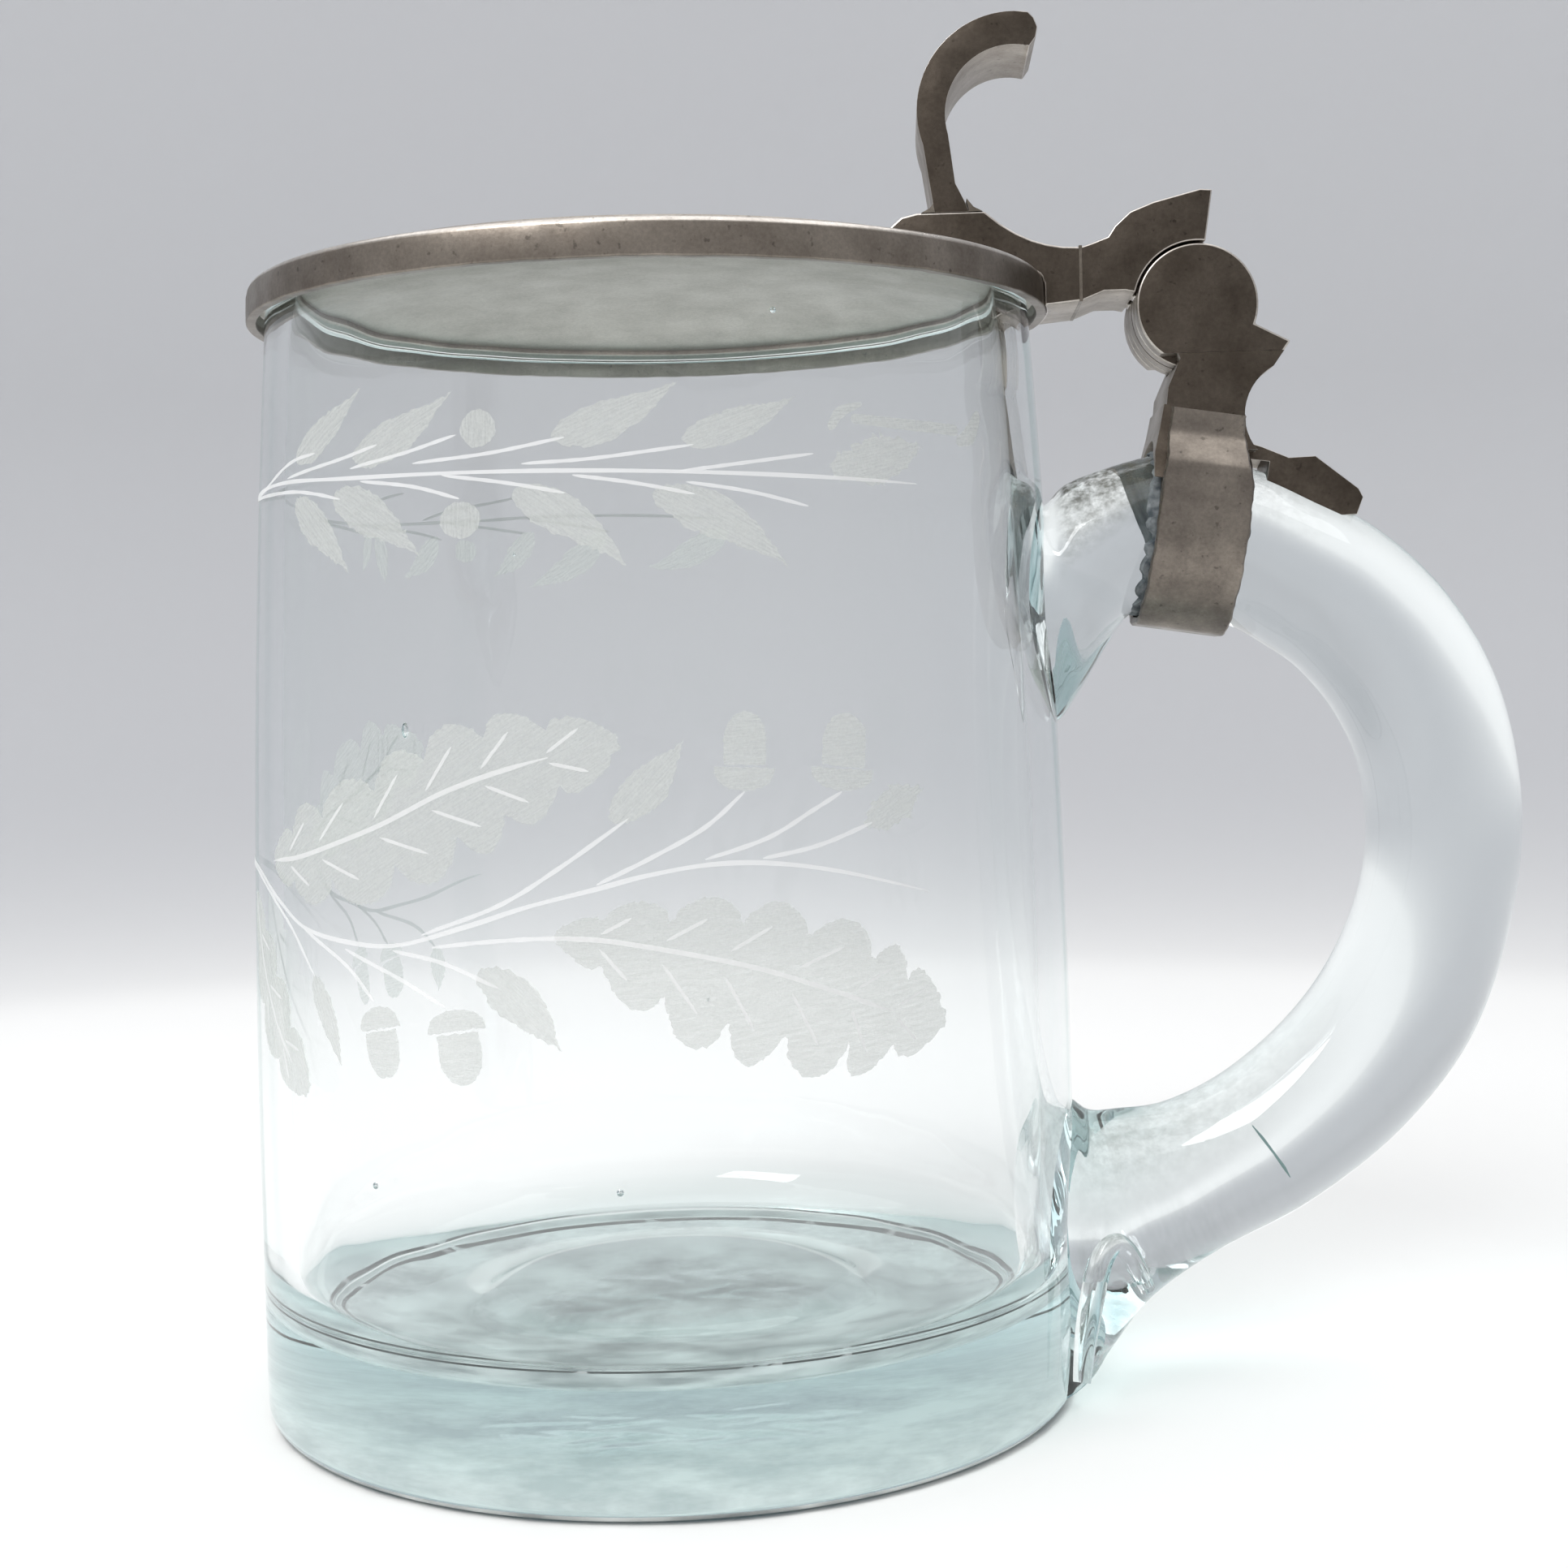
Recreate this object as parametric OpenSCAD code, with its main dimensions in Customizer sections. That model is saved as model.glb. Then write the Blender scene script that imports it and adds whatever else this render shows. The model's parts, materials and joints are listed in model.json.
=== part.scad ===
// Glass beer stein with a hinged pewter lid.
//
// Frame: origin at the centre of the ground underside, +Z up, +X towards the handle.
// The blown glass mug stands on its base. A pewter strap grips the handle and carries the
// hinge tower. The lid turns on a steel pin held between the tower's two cheeks.
// Positive hinge angle lifts the lid. It is open fully when the shank's beak meets the horn.

/* [Glass body] */
// Greatest outside radius, a quarter of the way up
body_r = 47.5; // [45:0.5:50]
// Outside radius at the lip
mouth_r = 43.8; // [42:0.1:44.2]
// Height of the lip above the table
body_h = 126.2; // [124:0.2:128]
// Wall thickness at the lip
wall_t = 3.6; // [2.8:0.1:4.4]
// Thickness of the solid base
base_t = 11.5; // [8:0.5:14]
// Height of the low dome in the middle of the inside floor
floor_dome = 1.4; // [0.6:0.1:2.5]

/* [Handle] */
// Radius of the solid glass rod
rod_r = 9.1; // [8.6:0.1:9.3]
// How far the loop reaches out from the mug's axis, measured to the middle of the rod
reach_x = 91; // [89:0.5:94]
// Height of the middle of the rod inside the strap
strap_z = 98.2; // [97.4:0.1:98.8]
// Height of the middle of the rod where it is fused to the wall near the foot
lower_z = 18.4; // [17.4:0.2:20]

/* [Strap and tower] */
// Thickness of the strap's sheet
strap_t = 1.0; // [0.8:0.1:1.3]
// Width of the strap along the handle
strap_w = 10.2; // [9:0.2:10.8]
// Slope of the rod through the strap, in degrees
strap_slope = 9; // [7:0.5:11]
// Distance from the rod's surface to the strap, filled with packing
packing_t = 0.5; // [0.4:0.05:0.7]
// Thickness of the neck of the tower, front to back
neck_t = 8.6; // [7.6:0.2:9]
// Width of the tang that lies on the back of the handle
tang_w = 9; // [7:0.5:11]

/* [Hinge] */
// Width of the whole hinge, over both cheeks
hinge_w = 14.2; // [13:0.2:16]
// Radius of the round leaves
leaf_r = 6.8; // [6.4:0.05:7]
// Radius of the hinge pin
pin_r = 1.5; // [1.2:0.05:1.8]
// Running clearance round the pin in the lid's leaves
pin_gap = 0.06; // [0.03:0.01:0.08]
// Side gap between neighbouring leaves
side_gap = 0.12; // [0.1:0.02:0.2]
// Angle at which the beak meets the horn
stop_angle = 102; // [98:1:104]

/* [Lid] */
// Outside radius of the lid at its lower edge
lid_r = 46; // [45.6:0.1:46.6]
// Height of the band round the lid's edge
band_h = 4.0; // [3.4:0.1:4.6]
// Rise of the shallow dome above the band
dome_h = 4.6; // [3.5:0.1:5.2]
// Thickness of the cast plate
plate_t = 2.2; // [1.8:0.1:2.6]
// How far the lid's rim hangs below the lip
lid_overlap = 1.9; // [1.2:0.1:2.1]
// Gap under the closed lid, between plate and lip
lip_gap = 0.2; // [0.15:0.05:0.3]

/* [Thumblift] */
// Outside radius of the hook
hook_r = 10.8; // [10.4:0.1:11.2]
// Thickness of the hook
hook_t = 3.2; // [2.8:0.1:3.5]

/* [Hidden] */

GLASS = [0.80, 0.88, 0.87];
PEWTER = [0.42, 0.40, 0.37];
SOLDER = [0.60, 0.57, 0.53];

round_fn = 120;
// Gap left between two pieces that are fused, soldered or cast on each other
seat_gap = 0.02;

// Hinge axis
hinge_x = lid_r + 16.6;
hinge_z = body_h - lid_overlap - 0.1;

// Leaves from front to back: cheek, lid leaf, middle leaf, lid leaf, cheek
leaf_w = hinge_w / 5;
seat_r = leaf_r + 0.3;
beak_angle = 8;

// Lid levels
lid_under_z = body_h + lip_gap;
lid_low_z = body_h - lid_overlap;
lid_band_z = lid_low_z + band_h;

// Strap on the handle
strap_x = 62.3;
strap_in_r = rod_r + packing_t;
strap_out_r = strap_in_r + strap_t;

// Tower levels
cheek_low_z = hinge_z - 5.4;
neck_x = hinge_x + 0.8;
shoulder_z = hinge_z - 12.2;

// Point [x, z] at distance r from the hinge axis, angle a turned from straight up towards +X
function around_hinge(r, a) = [hinge_x + r * sin(a), hinge_z + r * cos(a)];

// Points of an arc in the x-z plane, centre c, from angle a0 to a1 counted from +X
function arc(c, r, a0, a1, n) =
    [for (i = [0 : n]) let (a = a0 + (a1 - a0) * i / n) c + r * [cos(a), sin(a)]];

// Reversed list
function backwards(list) = [for (i = [len(list) - 1 : -1 : 0]) list[i]];

// Solid of constant section, x-z outline, width w centred on y
module slab(outline, w, y = 0) {
    translate([0, y + w / 2, 0])
        rotate([90, 0, 0])
            linear_extrude(w)
                polygon(outline);
}

// Cylinder along Y about the hinge axis
module hinge_round(r, w, y = 0) {
    translate([hinge_x, y + w / 2, hinge_z])
        rotate([90, 0, 0])
            cylinder(r = r, h = w, $fn = round_fn);
}

// ---- Glass body -------------------------------------------------------------------------

foot_round = 2.2;
bulge_z = 24;
inner_corner = 6;
lip_h = 1.4;
lip_z = body_h - lip_h;
floor_dome_r = 24;

function bulge(z) = max(0, (z - bulge_z) / (body_h - bulge_z));
function outer_r(z) = body_r - (body_r - mouth_r) * pow(bulge(z), 2);
function inner_r(z) = outer_r(z) - wall_t - 0.5 * (1 - z / body_h);

// Outside of the mug from the foot to the lip, with a rounded foot
function outside_profile(extra) = concat(
    [[body_r - foot_round + extra, 0]],
    arc([body_r - foot_round + extra, foot_round], foot_round, -90, 0, 6),
    [for (i = [0 : 12])
        let (z = bulge_z + (lip_z - bulge_z) * i / 12)
        [outer_r(z) + extra, z]]
);

// Inside, from the lip down to the floor and in to the axis
function inside_profile() = concat(
    [for (i = [0 : 10])
        let (z = lip_z - (lip_z - base_t - inner_corner) * i / 10)
        [inner_r(z), z]],
    arc([inner_r(base_t) - inner_corner, base_t + inner_corner], inner_corner, 0, -90, 6),
    [for (i = [0 : 6])
        let (t = i / 6, r = floor_dome_r * (1 - t))
        [r, base_t + floor_dome * (1 + cos(180 * (1 - t))) / 2]]
);

module glass_body() {
    lip_mid_r = (outer_r(lip_z) + inner_r(lip_z)) / 2;
    lip_half = (outer_r(lip_z) - inner_r(lip_z)) / 2;
    color(GLASS)
        rotate_extrude($fn = round_fn)
            polygon(concat(
                [[0, 0]],
                outside_profile(0),
                [for (i = [1 : 5])
                    let (a = 180 * i / 6)
                    [lip_mid_r + lip_half * cos(a), lip_z + lip_h * sin(a)]],
                inside_profile()
            ));
}

// ---- Glass handle -----------------------------------------------------------------------

slope_dir = [cos(strap_slope), -sin(strap_slope)];
strap_reach = 5.4;
rod_sides = 20;
steps = 3;

// Stations along the rod, from the upper joint round to the lower one. Each is the middle of a
// section, its lean from upright towards +X, and its half height and half width.
rod_line = [
    [34.0, strap_z - 8.4, 0, 12.6, 11.0],
    [40.5, strap_z - 8.4, 0, 12.6, 11.0],
    [46.0, strap_z - 8.2, -2, 12.6, 10.8],
    [49.3, strap_z - 4.0, -4, 11.3, 10.0],
    [strap_x - strap_reach * slope_dir.x, strap_z - strap_reach * slope_dir.y,
        strap_slope, rod_r, rod_r],
    [strap_x, strap_z, strap_slope, rod_r, rod_r],
    [strap_x + strap_reach * slope_dir.x, strap_z + strap_reach * slope_dir.y,
        strap_slope, rod_r, rod_r],
    [reach_x - 17.7, strap_z - 3.7, 18, rod_r - 0.1, rod_r],
    [reach_x - 11.7, strap_z - 7.4, 30, rod_r + 0.1, rod_r],
    [reach_x - 5.8, strap_z - 13.8, 44, rod_r + 0.2, rod_r],
    [reach_x - 1.6, strap_z - 22.4, 62, rod_r, rod_r],
    [reach_x, strap_z - 33.4, 80, rod_r - 0.2, rod_r],
    [reach_x - 1.5, lower_z + 35.8, 96, rod_r - 0.2, rod_r],
    [reach_x - 5.7, lower_z + 25.2, 115, rod_r + 0.1, rod_r],
    [reach_x - 12.5, lower_z + 16.6, 130, rod_r, rod_r],
    [reach_x - 21.0, lower_z + 9.8, 148, rod_r - 0.2, rod_r],
    [reach_x - 29.6, lower_z + 5.4, 162, rod_r, rod_r + 0.2],
    [reach_x - 36.3, lower_z + 2.3, 171, rod_r + 2.0, rod_r + 1.2],
    [49.2, lower_z - 0.6, 176, 14.0, 11.6],
    [42.0, lower_z - 1.0, 180, 14.2, 12.0],
    [34.0, lower_z - 1.0, 180, 14.2, 12.0],
];

// Smooth curve through four neighbours, at t from 0 to 1 between the middle two
function blend4(a, b, c, d, t) =
    0.5 * (2 * b + (c - a) * t + (2 * a - 5 * b + 4 * c - d) * t * t
        + (3 * b - a - 3 * c + d) * t * t * t);

rod_spans = len(rod_line) - 3;
rod_rings = rod_spans * steps + 1;
rod_path = [for (k = [0 : rod_rings - 1])
    let (i = min(floor(k / steps), rod_spans - 1), t = (k - i * steps) / steps)
    blend4(rod_line[i], rod_line[i + 1], rod_line[i + 2], rod_line[i + 3], t)];

module rod_solid() {
    points = [for (k = [0 : rod_rings - 1], j = [0 : rod_sides - 1])
        let (p = rod_path[k], a = 360 * j / rod_sides)
        [p[0] + sin(p[2]) * p[3] * cos(a), p[4] * sin(a), p[1] + cos(p[2]) * p[3] * cos(a)]];
    sides = [for (k = [0 : rod_rings - 2], j = [0 : rod_sides - 1])
        let (a = k * rod_sides + j, b = k * rod_sides + (j + 1) % rod_sides)
        [a, b, b + rod_sides, a + rod_sides]];
    first_cap = [for (j = [rod_sides - 1 : -1 : 0]) j];
    last_cap = [for (j = [0 : rod_sides - 1]) (rod_rings - 1) * rod_sides + j];
    polyhedron(points, concat(sides, [first_cap, last_cap]), convexity = 6);
}

// The rod's ends are trimmed to the outside of the mug, where they are fused to it
module glass_handle() {
    color(GLASS)
        difference() {
            rod_solid();
            rotate_extrude($fn = round_fn)
                polygon(concat([[0, -rod_r]], [[body_r - foot_round + seat_gap, -rod_r]],
                    outside_profile(seat_gap), [[0, body_h]]));
        }
}

// ---- Strap, packing, tower and tang -----------------------------------------------------

// Turns a solid built along X about the origin onto the strapped stretch of the rod
module on_strap() {
    translate([strap_x, 0, strap_z])
        rotate([0, strap_slope, 0])
            rotate([0, 90, 0])
                children();
}

module strap_packing() {
    packing_w = strap_w + 1.0;
    color([0.72, 0.70, 0.66])
        difference() {
            on_strap()
                translate([0, 0, -packing_w / 2 - 0.4])
                    cylinder(r = strap_in_r - seat_gap, h = packing_w, $fn = round_fn);
            rod_solid();
        }
}

module strap_band() {
    color(PEWTER)
        on_strap()
            difference() {
                cylinder(r = strap_out_r, h = strap_w, center = true, $fn = round_fn);
                cylinder(r = strap_in_r, h = strap_w + 2, center = true, $fn = round_fn);
            }
}

// Solid that the tower and tang stand on, a hair bigger than the strap
module strap_core(extra) {
    on_strap()
        cylinder(r = strap_out_r + extra, h = strap_w + 4, center = true, $fn = round_fn);
}

horn_r = 11.2;
beak_r = 12.8;
shoulder_foot_z = strap_z + 9.6;
horn_hollow_r = 6.2;
horn_tip = around_hinge(horn_r, stop_angle + beak_angle + 3);
horn_root = around_hinge(leaf_r - 1, stop_angle + beak_angle - 1);
neck_front = neck_x - neck_t / 2;
neck_back = neck_x + neck_t / 2;

// Neck of the tower with the horn at its back: hollow curve under the horn
tower_outline = concat(
    [horn_root, horn_tip],
    arc([neck_back + horn_hollow_r, shoulder_z - 0.4], horn_hollow_r, 118, 212, 12),
    [[neck_back + 1.4, shoulder_foot_z], [neck_front - 1.6, shoulder_foot_z]],
    [[neck_front - 0.9, shoulder_z - 1.4], [neck_front - 0.2, shoulder_z],
     [neck_front + 0.1, shoulder_z + 3], [neck_front + 1.5, cheek_low_z - 0.6],
     [neck_front + 0.4, cheek_low_z + 1.8]]
);

// Shoulder from the narrow neck out to the strap, seen along the handle
shoulder_top_z = shoulder_z + 0.4;
shoulder_drop = 8.4;
shoulder_spread = 2.6;
function shoulder_side(side) = [for (i = [0 : 6])
    let (t = i / 6)
    [side * (hinge_w / 2 + shoulder_spread * pow(t, 2)), shoulder_top_z - shoulder_drop * t]];
shoulder_outline = concat(shoulder_side(-1), backwards(shoulder_side(1)));

// The same shoulder seen from the side: it runs down from the neck to the strap's two edges
shoulder_side_outline = [
    [neck_front - 0.2, shoulder_z + 2],
    [neck_front - 0.9, shoulder_z - 1.4],
    [neck_front - 1.6, shoulder_foot_z],
    [neck_front - 2.2, strap_z + 2],
    [neck_back + 0.3, strap_z + 2],
    [neck_back + 0.3, shoulder_foot_z],
    [neck_back + 0.1, shoulder_z - 1.4],
    [neck_back, shoulder_z + 2],
];

module tower_shoulder() {
    intersection() {
        slab(shoulder_side_outline, 2 * hinge_w);
        on_strap()
            rotate([0, -90, 0])
                translate([-strap_w, 0, 0])
                    rotate([90, 0, 90])
                        linear_extrude(2 * strap_w)
                            translate([0, -strap_z])
                                polygon(shoulder_outline);
    }
}

// Reach of the boxes that part the cheeks from the tower, beyond the round of the leaves
leaf_reach = 10;
// Room left at each end of the pin in its blind sockets
pin_end_room = 0.1;
pin_len = 3 * leaf_w + 2.6;
pin_fit = 0.01;

// Everything above the cheeks' lower edge and outside the middle leaf belongs to the cheeks
module cheek_zone(extra) {
    for (side = [-1, 1])
        translate([hinge_x - leaf_reach, side * 2 * leaf_w - leaf_w / 2 - extra,
                cheek_low_z - extra])
            cube([2 * leaf_reach + 4, leaf_w + 2 * extra, 2 * leaf_reach + 4]);
}

module hinge_tower() {
    slot_w = leaf_w + 2 * side_gap;
    color(PEWTER)
        difference() {
            union() {
                slab(tower_outline, hinge_w);
                tower_shoulder();
                hinge_round(leaf_r, leaf_w - 2 * side_gap);
            }
            strap_core(seat_gap);
            for (side = [-1, 1])
                hinge_round(seat_r, slot_w, side * leaf_w);
            cheek_zone(seat_gap);
            hinge_round(pin_r + pin_fit, hinge_w + 2);
        }
}

// Round cheek with its share of the horn. The blind socket hides the end of the pin.
module cheek(side) {
    color(PEWTER)
        difference() {
            union() {
                hinge_round(leaf_r, leaf_w - side_gap, side * (2 * leaf_w + side_gap / 2));
                intersection() {
                    slab(tower_outline, leaf_w - side_gap, side * (2 * leaf_w + side_gap / 2));
                    translate([hinge_x - leaf_reach, -hinge_w, cheek_low_z])
                        cube([2 * leaf_reach + 4, 2 * hinge_w, 2 * leaf_reach + 4]);
                }
            }
            translate([hinge_x - leaf_reach, -hinge_w, cheek_low_z - leaf_reach])
                cube([2 * leaf_reach, 2 * hinge_w, leaf_reach]);
            hinge_round(pin_r + pin_fit, pin_len + 2 * pin_end_room);
        }
}

module front_hinge_cheek() {
    cheek(-1);
}

module back_hinge_cheek() {
    cheek(1);
}

module hinge_pin() {
    color("slategray")
        hinge_round(pin_r, pin_len);
}

// Leaf-shaped tang on the back of the handle, with a low step before its tip
tang_front_x = strap_x + strap_w / 2 + 1.1;
tang_outline = [
    [tang_front_x, strap_z + 4],
    [tang_front_x, strap_z + 10.6],
    [tang_front_x + 1.5, strap_z + 10.1],
    [tang_front_x + 4.5, strap_z + 8.8],
    [tang_front_x + 7.5, strap_z + 8.9],
    [tang_front_x + 9.1, strap_z + 7.6],
    [tang_front_x + 12.3, strap_z + 5.1],
    [tang_front_x + 12.8, strap_z + 4.1],
    [tang_front_x + 12.1, strap_z + 2.2],
    [tang_front_x + 8, strap_z + 2],
];

module rear_tang() {
    color(PEWTER)
        difference() {
            slab(tang_outline, tang_w);
            rod_solid();
            strap_core(seat_gap);
            hinge_tower();
        }
}

// ---- Lid --------------------------------------------------------------------------------

edge_round = 0.9;
step_r = lid_r - 4.6;
skirt_r = mouth_r + 1.0;

// Height of the dome's top at radius r
function dome_z(r) = lid_band_z + 0.9 + (dome_h - 0.9) * (1 - pow(r / step_r, 2));

module lid_plate() {
    color(PEWTER)
        rotate_extrude($fn = round_fn)
            polygon(concat(
                [[skirt_r, lid_low_z], [lid_r, lid_low_z]],
                [[lid_r - 0.1, lid_band_z - edge_round - 0.4]],
                arc([lid_r - 0.2 - edge_round, lid_band_z - edge_round], edge_round, 0, 90, 4),
                [[step_r + 1.2, lid_band_z - 0.1]],
                [for (i = [0 : 10]) let (r = step_r * (1 - i / 10)) [r, dome_z(r)]],
                [for (i = [10 : -1 : 1])
                    let (r = (step_r - 2) * (1 - i / 10))
                    [r, dome_z(r) - plate_t]],
                [[step_r - 1.2, lid_under_z], [skirt_r, lid_under_z]]
            ));
}

// Solid dome used to seat what is soldered on the lid
module lid_seat(extra) {
    rotate_extrude($fn = round_fn)
        polygon(concat(
            [[0, lid_low_z - 10], [lid_r + extra, lid_low_z - 10]],
            [[lid_r + extra, lid_band_z - edge_round - 0.4 + extra]],
            arc([lid_r - 0.2 - edge_round, lid_band_z - edge_round],
                edge_round + extra, 0, 90, 4),
            [[step_r + 1.2, lid_band_z - 0.1 + extra]],
            [for (i = [0 : 10])
                let (r = step_r * (1 - i / 10)) [r, dome_z(r) + extra]]
        ));
}

seam_x = lid_r + 3.6;
pad_z = hinge_z + 11.1;
pad_back_x = hinge_x - 23.7;
hollow_z = hinge_z + 6.8;

// Tongue on the lid: a pad for the thumblift, then a hollow curve down to the seam
tongue_outline = concat(
    [[pad_back_x - 14.5, lid_band_z + 2.2], [pad_back_x - 9.4, pad_z - 0.4]],
    [[pad_back_x - 7.6, pad_z], [pad_back_x, pad_z]],
    [for (i = [1 : 6])
        let (t = i / 6)
        [pad_back_x + (seam_x - 0.2 - pad_back_x) * t,
         pad_z - (pad_z - hollow_z) * (1 - pow(1 - t, 2.2))]],
    [[seam_x - 0.2, hinge_z + 0.7], [seam_x - 4.5, lid_low_z + 0.2]],
    [[pad_back_x - 14.5, lid_low_z + 0.2]]
);

module lid_tongue() {
    color(PEWTER)
        difference() {
            slab(tongue_outline, hinge_w);
            lid_seat(seat_gap);
        }
}

// Shank from the seam back to the beak, with the seat hollowed round the cheeks
shank_outline = [
    [seam_x + 0.2, hollow_z],
    [seam_x + 1.2, hollow_z + 0.3],
    [seam_x + 3.1, hollow_z + 1.0],
    [seam_x + 3.9, hollow_z + 2.2],
    [seam_x + 5.6, hollow_z + 3.7],
    [seam_x + 8.2, hollow_z + 4.7],
    [seam_x + 10.9, hollow_z + 5.4],
    around_hinge(beak_r, 2),
    around_hinge(beak_r, beak_angle),
    around_hinge(leaf_r - 1, beak_angle),
    [hinge_x, hinge_z],
    [hinge_x - 5.6, hinge_z + 1.2],
    [hinge_x - 8.0, hinge_z + 1.75],
    [hinge_x - 10.4, hinge_z + 1.75],
    [seam_x + 0.2, hinge_z + 0.8],
];

module hinge_shank() {
    color(PEWTER)
        difference() {
            union() {
                difference() {
                    slab(shank_outline, hinge_w);
                    hinge_round(seat_r, hinge_w + 2);
                }
                for (side = [-1, 1]) {
                    hinge_round(leaf_r, leaf_w - 2 * side_gap, side * leaf_w);
                    intersection() {
                        slab(shank_outline, leaf_w - 2 * side_gap, side * leaf_w);
                        hinge_round(seat_r + 1, hinge_w);
                    }
                }
            }
            hinge_round(pin_r + pin_gap, hinge_w + 2);
        }
}

// Solder run into the joint between tongue and shank, standing a little proud on top
module shank_solder() {
    solder_outline = [
        [seam_x - 0.18, hinge_z + 0.7],
        [seam_x - 0.18, hollow_z + 0.15],
        [seam_x + 0.18, hollow_z + 0.15],
        [seam_x + 0.18, hinge_z + 0.7],
    ];
    color(SOLDER)
        slab(solder_outline, hinge_w);
}

// ---- Thumblift --------------------------------------------------------------------------

hook_c = [hinge_x - 20.3, hinge_z + 22.4];
hook_in_c = hook_c - [0, 0.5];
hook_in_r = hook_r - hook_t;
foot_front_x = hinge_x - 29.3;
foot_back_x = hinge_x - 25.4;
hook_end = 80;

hook_outline = concat(
    [[foot_front_x, pad_z + seat_gap]],
    arc(hook_c, hook_r, 200, hook_end, 28),
    [hook_c + (hook_r - 0.5) * [cos(hook_end - 4), sin(hook_end - 4)]],
    [hook_c + (hook_r - 1.4) * [cos(hook_end - 8), sin(hook_end - 8)]],
    [hook_c + (hook_r - 2.5) * [cos(hook_end - 9), sin(hook_end - 9)]],
    backwards(arc(hook_in_c, hook_in_r, 196, hook_end - 5, 24)),
    [[foot_back_x - 1.5, pad_z + 3.2], [foot_back_x - 0.5, pad_z + 1.2]],
    [[foot_back_x, pad_z + seat_gap]]
);

module thumblift() {
    color(PEWTER)
        slab(hook_outline, hinge_w);
}

// Fillets of solder along the front and back of the thumblift's foot
module thumblift_solder() {
    bead = 1.5;
    module fillet(x, way) {
        slab([
            [x, pad_z + seat_gap],
            [x + way * bead, pad_z + seat_gap],
            [x + way * bead * 0.35, pad_z + bead * 0.35],
            [x - way * 0.28, pad_z + bead],
        ], hinge_w);
    }
    color(SOLDER)
        difference() {
            union() {
                fillet(foot_front_x, -1);
                fillet(foot_back_x, 1);
            }
            thumblift();
        }
}

glass_body();
glass_handle();
strap_packing();
strap_band();
hinge_tower();
front_hinge_cheek();
back_hinge_cheek();
rear_tang();
hinge_pin();
lid_plate();
lid_tongue();
hinge_shank();
shank_solder();
thumblift();
thumblift_solder();
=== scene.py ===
import json
import math

import bmesh
import bpy
import numpy as np
from mathutils import Matrix, Vector, geometry

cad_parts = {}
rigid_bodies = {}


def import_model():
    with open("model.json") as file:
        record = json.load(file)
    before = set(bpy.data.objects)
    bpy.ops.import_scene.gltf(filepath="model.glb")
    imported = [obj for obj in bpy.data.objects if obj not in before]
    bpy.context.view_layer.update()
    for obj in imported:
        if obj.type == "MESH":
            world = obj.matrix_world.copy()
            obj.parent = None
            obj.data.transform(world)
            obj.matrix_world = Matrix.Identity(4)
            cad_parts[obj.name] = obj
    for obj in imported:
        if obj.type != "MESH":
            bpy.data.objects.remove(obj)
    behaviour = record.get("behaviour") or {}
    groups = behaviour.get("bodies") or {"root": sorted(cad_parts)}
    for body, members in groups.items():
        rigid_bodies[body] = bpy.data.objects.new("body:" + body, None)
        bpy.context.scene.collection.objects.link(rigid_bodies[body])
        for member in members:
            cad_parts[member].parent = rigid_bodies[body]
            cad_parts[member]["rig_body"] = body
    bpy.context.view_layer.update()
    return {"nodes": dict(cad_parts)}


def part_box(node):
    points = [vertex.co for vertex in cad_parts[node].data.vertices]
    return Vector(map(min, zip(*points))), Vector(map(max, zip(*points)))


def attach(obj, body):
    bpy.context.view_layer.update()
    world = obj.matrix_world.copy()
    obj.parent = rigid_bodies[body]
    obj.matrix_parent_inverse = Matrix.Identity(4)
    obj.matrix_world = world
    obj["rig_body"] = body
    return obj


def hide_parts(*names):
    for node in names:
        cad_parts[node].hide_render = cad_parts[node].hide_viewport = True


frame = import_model()
mm = 0.001


# ---- View -------------------------------------------------------------------------------
# A close view square to the handle, a little above the middle of the mug, so the lid's
# underside shows over the near rim. The camera is turned, tilted and rolled a few degrees.
camera_at = Vector((27.8, -263.0, 83.5)) * mm
turn, tilt, roll = (math.radians(a) for a in (-2.90, -2.76, -1.31))
lens_mm, nearest_seen = 51.4, 10

forward = Vector((math.sin(turn) * math.cos(tilt), math.cos(turn) * math.cos(tilt), math.sin(tilt)))
level = Vector((math.cos(turn), -math.sin(turn), 0))
upward = level.cross(forward)
right = level * math.cos(roll) + upward * math.sin(roll)
upward = upward * math.cos(roll) - level * math.sin(roll)


def put(name, data):
    """A new object at the origin, linked to the scene."""
    made = bpy.data.objects.new(name, data)
    bpy.context.scene.collection.objects.link(made)
    return made


camera = put("camera", bpy.data.cameras.new("camera"))
camera.data.lens = lens_mm
camera.data.clip_start = nearest_seen * mm
camera.matrix_world = Matrix.Translation(camera_at) @ Matrix(
    [(right[i], upward[i], -forward[i]) for i in range(3)]).to_4x4()
bpy.context.scene.camera = camera
bpy.context.scene.view_settings.view_transform = "Standard"


# ---- Stage ------------------------------------------------------------------------------
# A round paper cove: a near-white table that curves up into a pale grey wall on every side.
# A wide softbox hangs overhead and a smaller one stands high to the left of the camera.
cove_floor_r, cove_bend_r, cove_top = 400, 190, 620
light_aim, room_light = (20, 0, 70), 0.52


def linear(hex_colour):
    """Linear RGBA of an sRGB hex colour."""
    srgb = [int(hex_colour[i:i + 2], 16) / 255 for i in (0, 2, 4)]
    return tuple(c / 12.92 if c <= 0.04045 else ((c + 0.055) / 1.055) ** 2.4 for c in srgb) + (1.0,)


def material(name):
    """A new material with only its output left, and that output's tree."""
    made = bpy.data.materials.new(name)
    made.use_nodes = True
    made.node_tree.nodes.clear()
    return made, made.node_tree


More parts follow.
